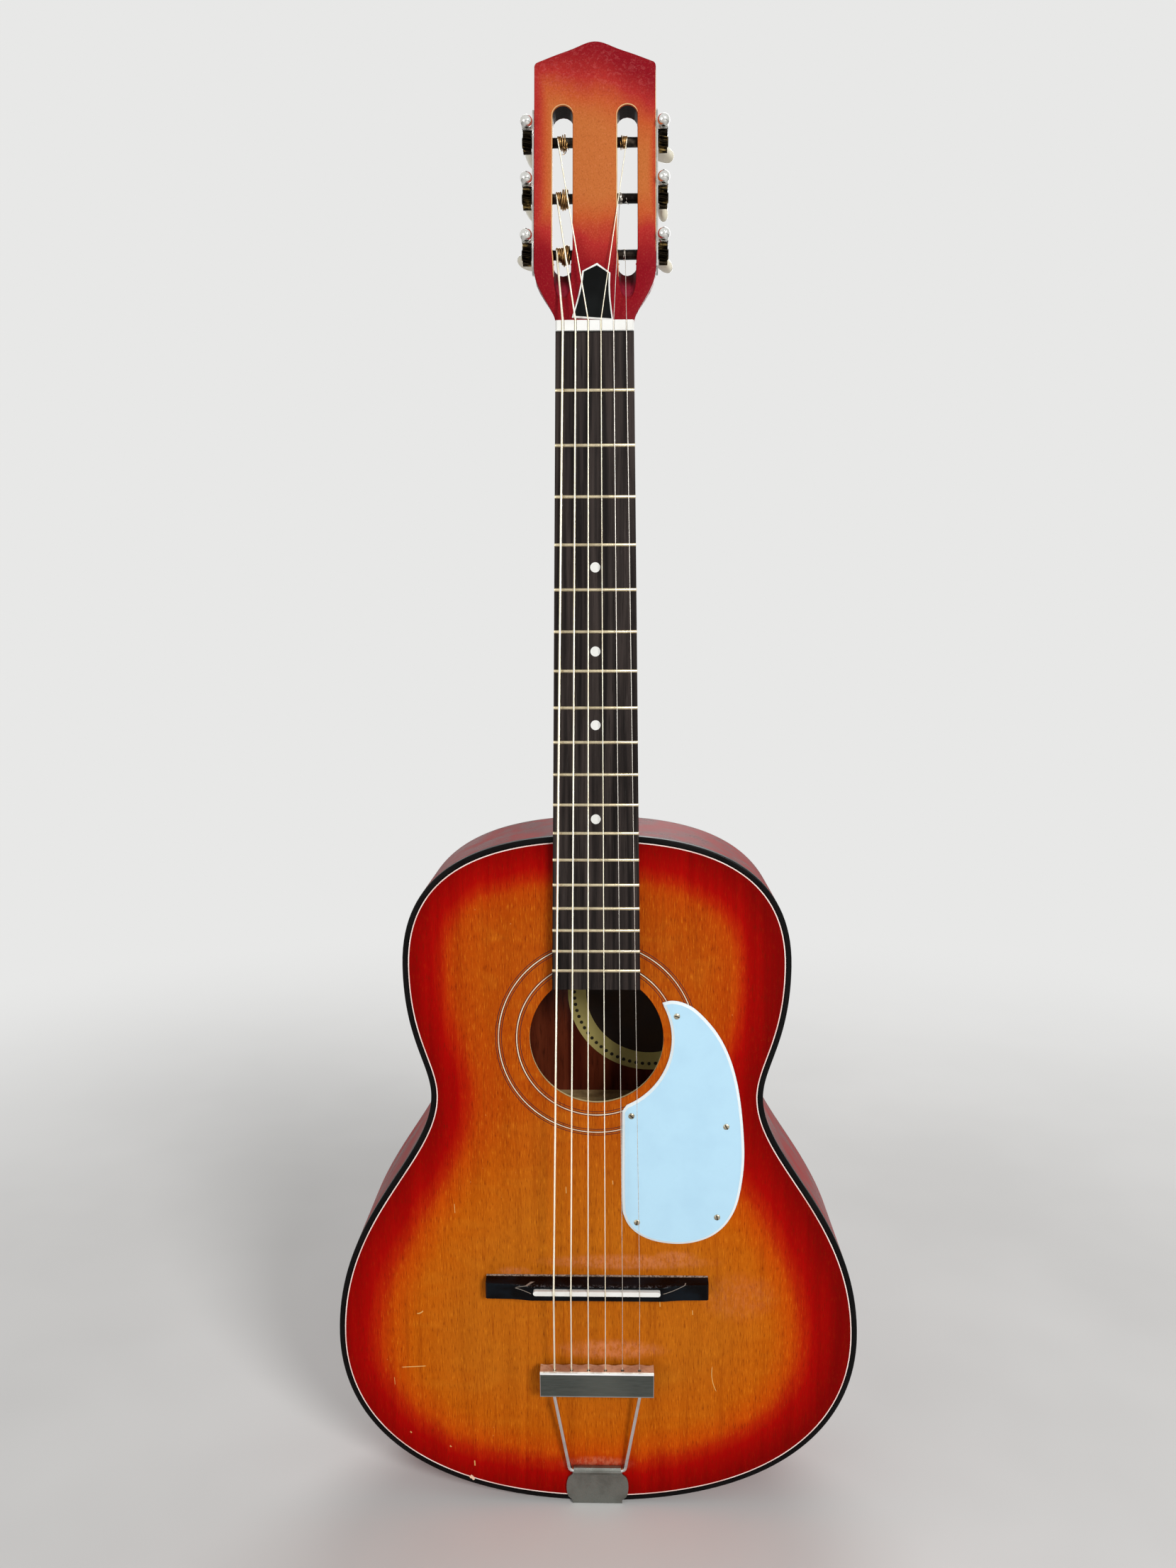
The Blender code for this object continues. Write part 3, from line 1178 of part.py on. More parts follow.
def make_tailpiece_frame():
    """The wire that hangs between the bar and the hanger."""
    under_bar = BAR_REAR_HEIGHT - BAR_SHEET - GAP - WIRE_RADIUS
    foot_y = GAP + HANGER_SHEET + GAP + WIRE_RADIUS
    top = WIRE_TOP_SPREAD / 2
    centre = (WIRE_FOOT_SPREAD / 2 - WIRE_BEND, WIRE_FOOT + WIRE_BEND)
    corner = circle(WIRE_BEND, 3, centre, 0.0, -math.pi / 2)
    behind_balls = BAR_FRONT - BAR_SHEET - BALL_END_LENGTH - 3 * GAP
    right = [(top, -under_bar, behind_balls), (top, -under_bar, BAR_REAR - WIRE_RADIUS)]
    right += [(x, -foot_y, z) for x, z in corner]
    points = right + [(-x, y, z) for x, y, z in reversed(right)]
    mesh = tube_mesh("tailpiece_frame", points, WIRE_RADIUS, 2)
    finish("tailpiece_frame", mesh, NICKEL, smooth=60)


def make_hanger():
    """A plate that hooks round the wire's foot, lies on the soundboard and turns down over the tail."""
    middle = GAP + HANGER_SHEET / 2
    hook = GAP + WIRE_RADIUS + HANGER_SHEET / 2
    centre_y = -(GAP + HANGER_SHEET + GAP + WIRE_RADIUS)
    line = []
    for k in range(9):
        angle = math.radians(-150 + 240 * k / 8)
        line.append((centre_y + hook * math.sin(angle), WIRE_FOOT + hook * math.cos(angle)))
    half = HANGER_WIDTH / 2
    widths = [half - 0.001] * len(line)
    top_z, low_z = WIRE_FOOT - 0.0045, 0.0015
    steps = 8
    for k in range(steps + 1):
        share = k / steps
        z = top_z + (low_z - top_z) * share
        line.append((-middle, z))
        widths.append(half + HANGER_EARS / 2 * math.sqrt(max(0.0, 1 - (2 * share - 1) ** 2)))
    for k in range(4):
        angle = math.radians(30 * k)
        line.append((-middle * math.cos(angle), -middle * math.sin(angle)))
        widths.append(half)
    line += [(HANGER_DROP - 0.006, -middle), (HANGER_DROP - 0.002, -middle), (HANGER_DROP, -middle)]
    widths += [half, half - 0.002, half - 0.007]
    rows = [[(w, y, z), (-w, y, z)] for (y, z), w in zip(line, widths)]
    hanger = finish("tailpiece_hanger", sheet_mesh("tailpiece_hanger", rows), NICKEL)
    thicken(hanger, HANGER_SHEET, 0)


make_soundboard()
make_back_plate()
make_binding()
mortise_guide = guide_object("mortise_guide", tenon_mesh("mortise", GAP))
make_ribs(mortise_guide)
make_linings()
make_blocks(mortise_guide)
make_braces()
make_neck()
make_fingerboard()
make_nut()
make_bridge()
make_saddle()
make_pickguard()
make_badge()
make_strings()
make_windings()
make_rollers()
make_worms()
make_buttons()
make_plates()
make_tailpiece_bar()
make_tailpiece_frame()
make_hanger()
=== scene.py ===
import math

import bmesh
import bpy
import numpy as np
from mathutils import Matrix, Vector
from mathutils.geometry import delaunay_2d_cdt, interpolate_bezier


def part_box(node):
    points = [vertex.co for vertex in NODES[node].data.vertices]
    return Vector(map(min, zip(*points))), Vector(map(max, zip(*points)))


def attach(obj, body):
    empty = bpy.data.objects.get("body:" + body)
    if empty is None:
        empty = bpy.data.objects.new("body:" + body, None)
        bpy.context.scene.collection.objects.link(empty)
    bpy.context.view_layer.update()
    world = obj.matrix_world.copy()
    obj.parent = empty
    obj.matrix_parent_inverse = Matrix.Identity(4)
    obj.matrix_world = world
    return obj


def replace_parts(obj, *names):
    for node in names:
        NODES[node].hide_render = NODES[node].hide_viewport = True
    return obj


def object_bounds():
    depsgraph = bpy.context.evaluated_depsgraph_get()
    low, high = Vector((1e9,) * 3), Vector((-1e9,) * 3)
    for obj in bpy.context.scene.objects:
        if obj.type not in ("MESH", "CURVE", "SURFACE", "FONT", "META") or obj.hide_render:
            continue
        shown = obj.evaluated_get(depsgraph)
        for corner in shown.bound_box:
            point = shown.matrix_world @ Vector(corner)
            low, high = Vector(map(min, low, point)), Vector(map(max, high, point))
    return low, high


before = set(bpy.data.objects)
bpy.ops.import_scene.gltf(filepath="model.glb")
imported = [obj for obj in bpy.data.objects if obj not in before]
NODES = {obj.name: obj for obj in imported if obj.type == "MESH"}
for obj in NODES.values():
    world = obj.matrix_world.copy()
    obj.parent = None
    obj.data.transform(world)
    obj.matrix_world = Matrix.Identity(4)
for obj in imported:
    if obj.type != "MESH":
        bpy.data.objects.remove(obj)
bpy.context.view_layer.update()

BODY = "body_and_neck"

# Sizes repeated from the solids
GAP = 0.0003
BODY_LENGTH = 0.464
UPPER = (0.126, 0.378)
WAIST = (0.109, 0.290)
LOWER = (0.1745, 0.121)
BINDING_WIDTH = 0.0030
BINDING_DEPTH = 0.0050
TOP_THICKNESS = 0.0028
BACK_THICKNESS = 0.0028
RIB_THICKNESS = 0.0028
DEPTH_AT_NECK = 0.078
DEPTH_AT_TAIL = 0.090
HOLE_RADIUS = 0.0437
SCALE_LENGTH = 0.610
FRET_COUNT = 18
NUT_Z = BODY_LENGTH + 0.0024 + SCALE_LENGTH / 2


def fret_z(number):
    return NUT_Z - SCALE_LENGTH * (1 - 2 ** (-number / 12))


BOARD_END_Z = fret_z(FRET_COUNT) - 0.0125
SADDLE_Z = NUT_Z - SCALE_LENGTH - 0.0015
HOLE_Z = BOARD_END_Z - 0.0352
BOARD_TOP = 0.0075
HEAD_TILT = math.radians(10)
ROLLER_Y = 0.00725
ROLLER_RADIUS = 0.0030
ROLLERS = (0.0453, 0.0804, 0.1155)
WORM_OFFSET = 0.00787
GEAR_X = 0.04165
SLOT_X = 0.0197
SLOT_HALF = 0.0065
SLOT_ENDS = (0.0337, 0.1352)
HEAD_HALF = 0.0370
STRINGS = (0.00137, 0.00107, 0.00081, 0.00061, 0.00041, 0.00033)
STRING_AT_ROLLER = (0.0234, 0.0236, 0.0229, 0.0195, 0.0152, 0.0184)
WINDING_WAY = (-1, -1, -1, -1, 1, -1)
HEAD_START = Vector((0, 0, NUT_Z + 0.0063))
HEAD = Matrix.Translation(HEAD_START) @ Matrix.Rotation(-HEAD_TILT, 4, "X")
# The head's own depth and height as directions in the frame, then the frame's own directions
HEAD_IN = Vector((0, math.cos(HEAD_TILT), -math.sin(HEAD_TILT)))
HEAD_UP = Vector((0, math.sin(HEAD_TILT), math.cos(HEAD_TILT)))
RIGHT, UP, DOWN, FRONT, BEHIND = (1, 0, 0), (0, 0, 1), (0, 0, -1), (0, -1, 0), (0, 1, 0)


def rgb(red, green, blue):
    """A colour as it looks on a screen, from 0 to 255, as the shader wants it."""
    return tuple(((c / 255 + 0.055) / 1.055) ** 2.4 if c > 10 else c / 255 / 12.92
                 for c in (red, green, blue)) + (1.0,)


def plug(tree, value, socket):
    """Gives an input another node's output, a number, a vector, or a colour as three numbers for rgb."""
    if isinstance(value, bpy.types.NodeSocket):
        tree.links.new(value, socket)
    else:
        socket.default_value = rgb(*value) if socket.type == "RGBA" else value


def add_node(tree, kind, *places, **names):
    """Adds a shader node and fills its inputs, the first ones by place and others by name."""
    made = tree.nodes.new("ShaderNode" + kind)
    for key, value in [*enumerate(places), *names.items()]:
        plug(tree, value, made.inputs[key])
    return made


class Look:
    """A procedural material, with short names for the nodes that these looks use."""

    def __init__(self, name, roughness=0.5, metallic=0.0, specular=0.5):
        self.material = bpy.data.materials.new(name)
        self.material.use_nodes = True
        self.tree = self.material.node_tree
        self.shader = self.tree.nodes["Principled BSDF"]
        self.shader.inputs["Roughness"].default_value = roughness
        self.shader.inputs["Metallic"].default_value = metallic
        self.shader.inputs["Specular IOR Level"].default_value = specular
        self.place = self.node("TexCoord").outputs["Object"]
        self.height = None

    def node(self, kind, *places, **names):
        return add_node(self.tree, kind, *places, **names)

    def noise(self, scale, stretch=(1, 1, 1), detail=3.0, roughness=0.55, shift=0.0, distortion=0.0):
        place = self.node("Mapping", Vector=self.place, Scale=stretch,
                          Location=(shift, shift * 0.7, shift * 1.3)).outputs[0]
        return self.node("TexNoise", Vector=place, Scale=scale, Detail=detail, Roughness=roughness,
                         Distortion=distortion).outputs[0]

    def grain(self, across, along, detail=3.0, roughness=0.55, shift=0.0, distortion=0.0):
        """Noise drawn out along Z, with its scales across and along the wood."""
        return self.noise(1.0, (across, across, along), detail, roughness, shift, distortion)

    def cells(self, scale, stretch):
        place = self.node("Mapping", Vector=self.place, Scale=stretch).outputs[0]
        return self.node("TexVoronoi", Vector=place, Scale=scale).outputs["Distance"]

    def bands(self, width):
        """A wave that repeats along Z, as a winding does along its string."""
        made = self.node("TexWave", Vector=self.place, Scale=math.pi / 10 / width)
        made.bands_direction = "Z"
        return made.outputs["Fac"]

    def math(self, operation, a, b=0.0, c=0.0, clamp=False):
        made = self.node("Math", a, b, c)
        made.operation = operation
        made.use_clamp = clamp
        return made.outputs[0]

    def times(self, a, b, clamp=False):
        return self.math("MULTIPLY", a, b, clamp=clamp)

    def most(self, a, b, clamp=False):
        return self.math("MAXIMUM", a, b, clamp=clamp)

    def step(self, value, low, high, to_low=0.0, to_high=1.0):
        """Runs smoothly from to_low to to_high while the value runs from low to high."""
        made = self.node("MapRange", value, low, high, to_low, to_high)
        made.interpolation_type = "SMOOTHSTEP"
        return made.outputs[0]

    def along(self, direction, start=(0, 0, 0)):
        """How far the place is from a start along a direction."""
        away = self.node("VectorMath", self.place, start)
        away.operation = "SUBTRACT"
        dot = self.node("VectorMath", away.outputs[0], direction)
        dot.operation = "DOT_PRODUCT"
        return dot.outputs["Value"]

    def ramp(self, value, stops):
        made = self.node("ValToRGB", value)
        line = made.color_ramp.elements
        while len(line) < len(stops):
            line.new(0.5)
        for element, (at, colour) in zip(line, stops):
            element.position = at
            element.color = rgb(*colour)
        return made.outputs[0]

    def mix(self, share, a, b, blend="MIX"):
        made = self.node("Mix", share)
        made.data_type = "RGBA"
        made.blend_type = blend
        for value, socket in ((a, made.inputs[6]), (b, made.inputs[7])):
            self.plug(value, socket)
        return made.outputs[2]

    def blend(self, value, low, high, a, b):
        """One colour where the value is low, and another where it is high."""
        return self.mix(self.step(value, low, high), a, b)

    def cover(self, under, value, low, high, amount, colour):
        """Lays a colour over another, up to an amount, as the value runs from low to high."""
        return self.mix(self.step(value, low, high, 0.0, amount), under, colour)

    def spot(self, centre, size):
        """One inside an ellipse in the plane of X and Z, and nothing outside it."""
        across = self.math("DIVIDE", self.along(RIGHT, (centre[0], 0, 0)), size[0])
        up = self.math("DIVIDE", self.along(UP, (0, 0, centre[1])), size[1])
        away = self.math("SQRT", self.math("MULTIPLY_ADD", across, across, self.times(up, up)))
        return self.step(away, 1.5, 0.5)

    def scratch(self, start, end, width, bow):
        """A fine line in the plane of X and Z that is bent sideways by the bow."""
        run = Vector((end[0] - start[0], 0, end[1] - start[1]))
        corner = (start[0], 0, start[1])
        share = self.math("DIVIDE", self.along(run.normalized(), corner), run.length)
        side = self.along(Vector((run.z, 0, -run.x)).normalized(), corner)
        bend = self.times(self.times(share, self.math("SUBTRACT", 1.0, share)), 4 * bow)
        away = self.math("ABSOLUTE", self.math("SUBTRACT", side, bend))
        ends = self.times(self.step(share, 0.0, 0.10), self.step(share, 1.0, 0.90))
        return self.times(self.step(away, width * 0.6, width * 0.3), ends)

    def plug(self, value, socket):
        plug(self.tree, value, socket)

    def colour(self, value):
        self.plug(value, self.shader.inputs["Base Color"])
        return self

    def rough(self, value, low, high):
        """Roughness from low to high as a noise runs through its middle."""
        self.plug(self.step(value, 0.3, 0.7, low, high), self.shader.inputs["Roughness"])
        return self

    def bump(self, height, depth):
        """Adds relief of a depth in metres."""
        made = self.node("Bump", Strength=1.0, Distance=depth, Height=height)
        if self.height:
            self.plug(self.height, made.inputs["Normal"])
        self.height = made.outputs[0]
        self.plug(self.height, self.shader.inputs["Normal"])
        return self


# Wood
def wood_grain(look, across=1.0, along=1.0):
    """Fine fibres and slower bands along Z, as two values about a half."""
    fibres = look.grain(900 * across, 55 * along, 4.0, 0.6)
    return fibres, look.grain(110 * across, 5 * along, 3.0, 0.5, 3.1, 0.4)


# Scuffs on the soundboard: place, size and how strong, then the fine scratches
SCUFFS = (
    ((0.020, 0.1745), (0.046, 0.0045), 0.30), ((0.052, 0.178), (0.012, 0.004), 0.28),
    ((0.008, 0.1115), (0.030, 0.0060), 0.34), ((-0.0555, 0.1672), (0.0095, 0.0030), 0.20),
    ((0.0, 0.0275), (0.019, 0.0045), 0.38), ((0.095, 0.150), (0.020, 0.014), 0.10),
)
SCRATCHES = (
    ((-0.1217, 0.1363), (-0.1173, 0.1384), 0.0008, 0.0006),
    ((-0.1332, 0.0972), (-0.1158, 0.0983), 0.0006, 0.0),
    ((0.0778, 0.1004), (0.0808, 0.0813), 0.0005, 0.0016), ((-0.1380, 0.0900), (-0.1376, 0.0843), 0.0003, 0.0),
    ((-0.1280, 0.0500), (-0.1270, 0.0489), 0.0009, 0.0), ((-0.1010, 0.0397), (-0.0999, 0.0388), 0.0009, 0.0),
    ((-0.0842, 0.0290), (-0.0840, 0.0248), 0.0008, 0.0), ((0.0420, 0.1480), (0.0423, 0.1425), 0.0005, 0.0),
    ((0.0640, 0.1405), (0.0642, 0.1370), 0.0005, 0.0), ((-0.0950, 0.2150), (-0.0946, 0.2080), 0.0004, 0.0),
    ((-0.0205, 0.2275), (-0.0203, 0.2225), 0.0005, 0.0), ((0.0105, 0.2320), (0.0107, 0.2290), 0.0005, 0.0),
)


def sunburst_top():
    look = Look("sunburst_lacquer", 0.42, specular=0.035)
    fibres = look.grain(1300, 150, 4.0, 0.65)
    bands = look.grain(170, 9, 3.0, 0.5, 3.1, 0.4)
    right = look.along(RIGHT)
    up = look.along(UP)
    cloud = look.noise(9.0, (1, 1, 0.8), 2.0, 0.5, 1.7)
    wander = look.math("MULTIPLY_ADD", cloud, 0.012, -0.006)
    streak = look.math("MULTIPLY_ADD", bands, 0.008, -0.004)
    wander = look.math("ADD", wander, streak)
    lean = look.step(right, 0.02, 0.17, 0.0, 0.011)
    rim = look.node("Attribute")
    rim.attribute_name = "rim"
    reach = look.math("SUBTRACT", look.math("ADD", rim.outputs["Fac"], wander), lean)
    burst = look.ramp(look.times(reach, 10.0, clamp=True), [
        (0.00, (126, 0, 0)), (0.09, (146, 1, 0)), (0.19, (166, 4, 1)), (0.27, (180, 34, 2)),
        (0.35, (196, 74, 2)), (0.50, (192, 92, 5)), (0.85, (190, 102, 16))])
    shade = look.times(look.step(up, 0.200, 0.300), look.step(reach, 0.022, 0.040))
    burst = look.mix(look.times(shade, 0.62), burst, (172, 62, 4))
    figure = look.grain(26, 60, 2.0, 0.5, 6.0, 1.2)
    amber = look.step(reach, 0.018, 0.042, 0.06, 1.0)
    sheen = look.times(look.step(figure, 0.45, 0.75, 0.0, 0.16), look.step(reach, 0.030, 0.060))
    burst = look.mix(sheen, burst, (214, 132, 30))
    grain = look.ramp(bands, [
        (0.30, (226, 218, 208)), (0.52, (246, 243, 240)), (0.70, (255, 255, 255))])
    made = look.mix(0.7, burst, grain, "MULTIPLY")
    pale = look.times(look.step(fibres, 0.53, 0.72, 0.0, 0.52), amber)
    made = look.mix(pale, made, (232, 140, 30))
    made = look.cover(made, fibres, 0.48, 0.28, 0.72, (98, 22, 2))
    vein = look.grain(420, 16, 3.0, 0.6, 9.0, 0.3)
    made = look.mix(look.times(look.step(vein, 0.46, 0.30, 0.0, 0.30), amber), made, (140, 54, 3))
    patchy = look.grain(420, 260, 3.0, 0.7, 8.0)
    worn = 0.0
    for centre, size, amount in SCUFFS:
        mark = look.times(look.spot(centre, size), look.step(patchy, 0.36, 0.62, 0.25 * amount, amount))
        worn = look.most(worn, mark)
    made = look.mix(worn, made, (232, 150, 112))
    cut = 0.0
    for start, end, width, bow in SCRATCHES:
        cut = look.most(cut, look.scratch(start, end, width, bow))
    made = look.mix(look.times(cut, 0.7), made, (236, 196, 120))
    fleck = look.cells(150.0, (1, 1, 0.6))
    fleck = look.times(look.step(fleck, 0.050, 0.030), look.step(cloud, 0.45, 0.60, 0.0, 0.5))
    fleck = look.times(fleck, amber)
    made = look.mix(fleck, made, (232, 176, 104))
    inside = look.step(look.along(BEHIND), 0.0004, 0.0009)
    look.colour(look.mix(inside, made, (240, 216, 160)))
    look.rough(bands, 0.38, 0.48)
    return look.bump(fibres, 0.00003).bump(look.noise(60.0, detail=2.0), 0.00006).bump(cut, 0.00004).material


def body_depth(z):
    return DEPTH_AT_TAIL + (DEPTH_AT_NECK - DEPTH_AT_TAIL) * z / BODY_LENGTH


def red_wood(name, light, dark, roughness, inside=None, specular=0.12):
    """Lacquered sides or back, or bare wood on the side named as the inside."""
    look = Look(name, roughness, specular=specular)
    fibres, bands = wood_grain(look, 0.8, 1.2)
    figure = look.grain(60, 4.0, 4.0, 0.6, 5.0, 0.3)
    made = look.blend(figure, 0.32, 0.68, dark, light)
    made = look.cover(made, fibres, 0.45, 0.25, 0.45, (40, 4, 3))
    made = look.cover(made, bands, 0.55, 0.8, 0.35, light)
    if inside:
        bare = look.blend(bands, 0.3, 0.7, (70, 22, 12), (116, 52, 30))
        bare = look.cover(bare, fibres, 0.5, 0.3, 0.6, (40, 10, 6))
        made = look.mix(inside(look), made, bare)
    look.colour(made)
    look.rough(figure, roughness - 0.04, roughness + 0.08)
    return look.bump(fibres, 0.00005).material


def inside_back(look):
    slope = (DEPTH_AT_TAIL - DEPTH_AT_NECK) / BODY_LENGTH
    out = Vector((0, 1, slope)).normalized()
    return look.step(look.along(out, (0, DEPTH_AT_TAIL, 0)), -0.0010, -0.0018)


def head_wood():
    look = Look("neck_lacquer", 0.34, specular=0.07)
    up = look.along(HEAD_UP, HEAD_START)
    depth = look.along(HEAD_IN, HEAD_START)
    right = look.along(RIGHT)
    aside = look.math("ABSOLUTE", right)
    fibres, bands = wood_grain(look, 0.6, 2.5)
    cloud = look.noise(30.0, (1, 1, 0.8), 3.0, 0.5, 2.2)
    wander = look.math("MULTIPLY_ADD", cloud, 0.026, -0.013)
    height = look.math("ADD", up, wander)
    top = look.math("ADD", height, look.times(right, 0.35))
    top = look.math("ADD", top, look.times(aside, 0.25))
    red_top = look.step(top, 0.120, 0.176)
    low = look.math("SUBTRACT", height, look.times(aside, 0.22))
    red_low = look.step(low, 0.078, 0.030)
    red_sides = look.step(aside, 0.031, 0.0372, 0.0, 0.5)
    red_left = look.step(right, -0.024, -0.036, 0.0, 0.62)
    red = look.most(look.most(red_top, red_low), look.most(red_sides, red_left), clamp=True)
    face = look.ramp(red, [(0.0, (190, 106, 52)), (0.30, (188, 84, 42)), (0.62, (172, 44, 40)),
                           (1.0, (134, 12, 26))])
    fleck = look.grain(1250, 1000, 3.0, 0.7, 1.0)
    calm = look.step(red, 0.3, 0.9, 0.26, 0.09)
    face = look.mix(look.times(look.step(fleck, 0.52, 0.72), calm), face, (224, 140, 104))
    face = look.cover(face, fleck, 0.48, 0.30, 0.34, (104, 26, 14))
    crease = look.grain(420, 520, 3.0, 0.55, 4.0, 0.8)
    crease = look.times(look.step(crease, 0.50, 0.66), look.step(up, 0.120, 0.160, 0.0, 0.7))
    face = look.mix(look.times(crease, 0.18), face, (228, 120, 118))
    rest = look.blend(bands, 0.3, 0.7, (92, 8, 10), (132, 18, 16))
    rest = look.cover(rest, fibres, 0.45, 0.25, 0.5, (45, 5, 4))
    made = look.blend(depth, 0.0008, 0.0035, face, rest)
    # Painted shade inside the slots: the wood is painted darker the deeper it lies, red to dark red along the
    # trough and near black on the walls above it.
    off = look.math("ABSOLUTE", look.math("SUBTRACT", aside, SLOT_X))
    slot_shade_mask = look.step(off, SLOT_HALF + 0.0006, SLOT_HALF + 0.0001)
    slot_shade_mask = look.times(slot_shade_mask, look.step(depth, 0.0007, 0.0016))
    trough = look.blend(up, 0.022, 0.031, (146, 34, 52), (84, 14, 20))
    wall = look.blend(up, 0.044, 0.030, (22, 10, 8), trough)
    wall = look.cover(wall, fibres, 0.5, 0.3, 0.5, (52, 6, 10))
    slot_shade_mask = look.times(slot_shade_mask, look.step(up, 0.010, 0.013))
    slot_shade_mask = look.times(slot_shade_mask, look.step(up, SLOT_ENDS[1] + 0.0008, SLOT_ENDS[1] + 0.0003))
    slot_shade_mask = look.times(slot_shade_mask, look.step(depth, 0.0143, 0.0138))
    made = look.mix(slot_shade_mask, made, wall)
    look.colour(made)
    look.rough(fleck, 0.28, 0.42)
    return look.bump(crease, 0.00012).bump(fleck, 0.00004).material


def raw_wood(name, light, dark):
    look = Look(name, 0.75, specular=0.25)
    fibres, bands = wood_grain(look, 0.7, 1.0)
    made = look.blend(bands, 0.3, 0.7, dark, light)
    look.colour(look.cover(made, fibres, 0.5, 0.25, 0.5, dark))
    return look.bump(fibres, 0.0001).material


def rosewood():
    look = Look("rosewood", 0.5, specular=0.07)
    fibres = look.grain(1300, 42, 5.0, 0.65)
    bands = look.grain(260, 7, 3.0, 0.5, 4.0, 0.5)
    made = look.blend(bands, 0.3, 0.7, (24, 20, 19), (60, 52, 49))
    made = look.cover(made, fibres, 0.47, 0.28, 0.85, (9, 6, 6))
    # Pale grey streaks along the fibres are partly the wood's own lighter grain and partly painted highlight.
    look.colour(look.cover(made, fibres, 0.60, 0.78, 0.45, (92, 88, 84)))
    look.rough(bands, 0.40, 0.56)
    return look.bump(fibres, 0.00010).material


# Plastics and paint
BRIDGE_TOP_Z = 0.1654
# Painted highlight lines along the curved edges where the crest falls to the wings: start and end in X and Z,
# then the bow
BRIDGE_HIGHLIGHT_LINES = (((-0.0545, 0.1612), (-0.0390, 0.1646), -0.0005), ((0.0430, 0.1588), (0.0600, 0.1648), 0.0010),
               ((-0.0430, 0.1582), (-0.0545, 0.1612), 0.0003))


def bridge_paint():
    """Black paint, worn grey along the crest and pale along its upper edge, with painted highlight lines
    along the curved edges where the crest falls to the wings.
    """
    look = Look("bridge_paint", 0.3, specular=0.09)
    speck = look.noise(700.0, (1, 1, 1), 4.0, 0.7)
    cloud = look.noise(80.0, (0.5, 1, 1), 3.0, 0.6, 2.0)
    # The black is painted bluish in patches, as painted reflection in its gloss.
    made = look.blend(cloud, 0.4, 0.7, (4, 3, 4), (12, 18, 24))
    proud = look.step(look.along(FRONT), 0.0092, 0.0116)
    above = look.step(look.along(UP), SADDLE_Z + 0.0026, SADDLE_Z + 0.0036)
    worn = look.times(look.times(proud, above), look.step(speck, 0.50, 0.66, 0.0, 0.75))
    made = look.mix(worn, made, (112, 116, 120))
    rim = look.step(look.along(UP), BRIDGE_TOP_Z - 0.0004, BRIDGE_TOP_Z - 0.0002)
    rim = look.times(rim, look.step(speck, 0.40, 0.60, 0.2, 0.85))
    # The curved lines are painted highlight, joined with the worn pale upper edge.
    lines = 0.0
    for start, end, bow in BRIDGE_HIGHLIGHT_LINES:
        lines = look.most(lines, look.times(look.scratch(start, end, 0.0004, bow), 0.55))
    lines = look.times(lines, look.step(look.along(FRONT), 0.0070, 0.0080))
    lines = look.most(lines, rim)
    look.colour(look.mix(lines, made, (196, 182, 168)))
    look.rough(cloud, 0.24, 0.36)
    return look.bump(speck, 0.00004).material


def moulded(name, colour, dark, roughness=0.3, speck=300.0, relief=0.00003, specular=0.3):
    look = Look(name, roughness, specular=specular)
    cloud = look.noise(40.0)
    fine = look.noise(speck, shift=2.0)
    made = look.cover(colour, cloud, 0.35, 0.75, 0.55, dark)
    look.colour(look.cover(made, fine, 0.62, 0.80, 0.5, dark))
    look.rough(cloud, roughness - 0.06, roughness + 0.10)
    return look.bump(fine, relief).material


def metal(name, colour, tarnish, roughness=0.3, brush=(1, 1, 1), scale=200.0, relief=0.00003, amount=0.6):
    look = Look(name, roughness, 1.0)
    cloud = look.noise(70.0, detail=4.0, shift=1.0)
    fine = look.noise(scale, brush, 4.0, 0.6)
    made = look.cover(colour, cloud, 0.42, 0.72, amount, tarnish)
    look.colour(look.cover(made, fine, 0.55, 0.78, 0.35, tarnish))
    look.rough(fine, roughness - 0.07, roughness + 0.12)
    return look.bump(fine, relief).material


def wound_string(name, light, dark):
    look = Look(name, 0.38, 1.0)
    turns = look.bands(0.00035)
    cloud = look.grain(400, 30, 2.0)
    made = look.cover(light, cloud, 0.4, 0.7, 0.5, dark)
    look.colour(look.cover(made, turns, 0.35, 0.0, 0.35, dark))
    return look.bump(turns, 0.00004).material


TOP = sunburst_top()
RIB = red_wood("rib_lacquer", (158, 28, 26), (110, 6, 8), 0.30, specular=0.03)
BACK = red_wood("back_lacquer", (134, 22, 16), (92, 8, 6), 0.28, inside_back)
HEAD_WOOD = head_wood()
SPRUCE = raw_wood("brace_wood", (206, 176, 124), (150, 120, 78))
INNER = raw_wood("lining_wood", (168, 128, 88), (112, 78, 50))
ROSEWOOD = rosewood()
BLACK = moulded("black_binding", (6, 5, 5), (16, 14, 14), 0.3, 260.0, specular=0.10)
BRIDGE_BLACK = bridge_paint()
BADGE_BLACK = moulded("badge_face", (4, 5, 5), (14, 18, 18), 0.3, 300.0, specular=0.10)
WHITE = moulded("white_plastic", (240, 240, 236), (214, 210, 200), 0.32)
DOT_WHITE = moulded("dot_plastic", (238, 238, 234), (210, 208, 200), 0.3)
PURFLING = moulded("purfling_strip", (248, 228, 220), (214, 150, 138), 0.5, 180.0)
ROSETTE = moulded("rosette_strip", (250, 232, 200), (196, 130, 84), 0.5, 150.0)
ROSETTE_DARK = moulded("rosette_line", (70, 12, 8), (110, 34, 12), 0.5, 150.0)
BUTTON = moulded("button_plastic", (240, 236, 220), (226, 214, 182), 0.24, 120.0)
GUARD = moulded("pickguard_face", (186, 224, 244), (176, 214, 236), 0.30, 90.0, 0.00002, 0.1)
GUARD_RIM = moulded("pickguard_rim", (236, 246, 248), (222, 238, 244), 0.3, specular=0.2)
NICKEL = metal("nickel", (206, 206, 202), (120, 116, 108), 0.24)
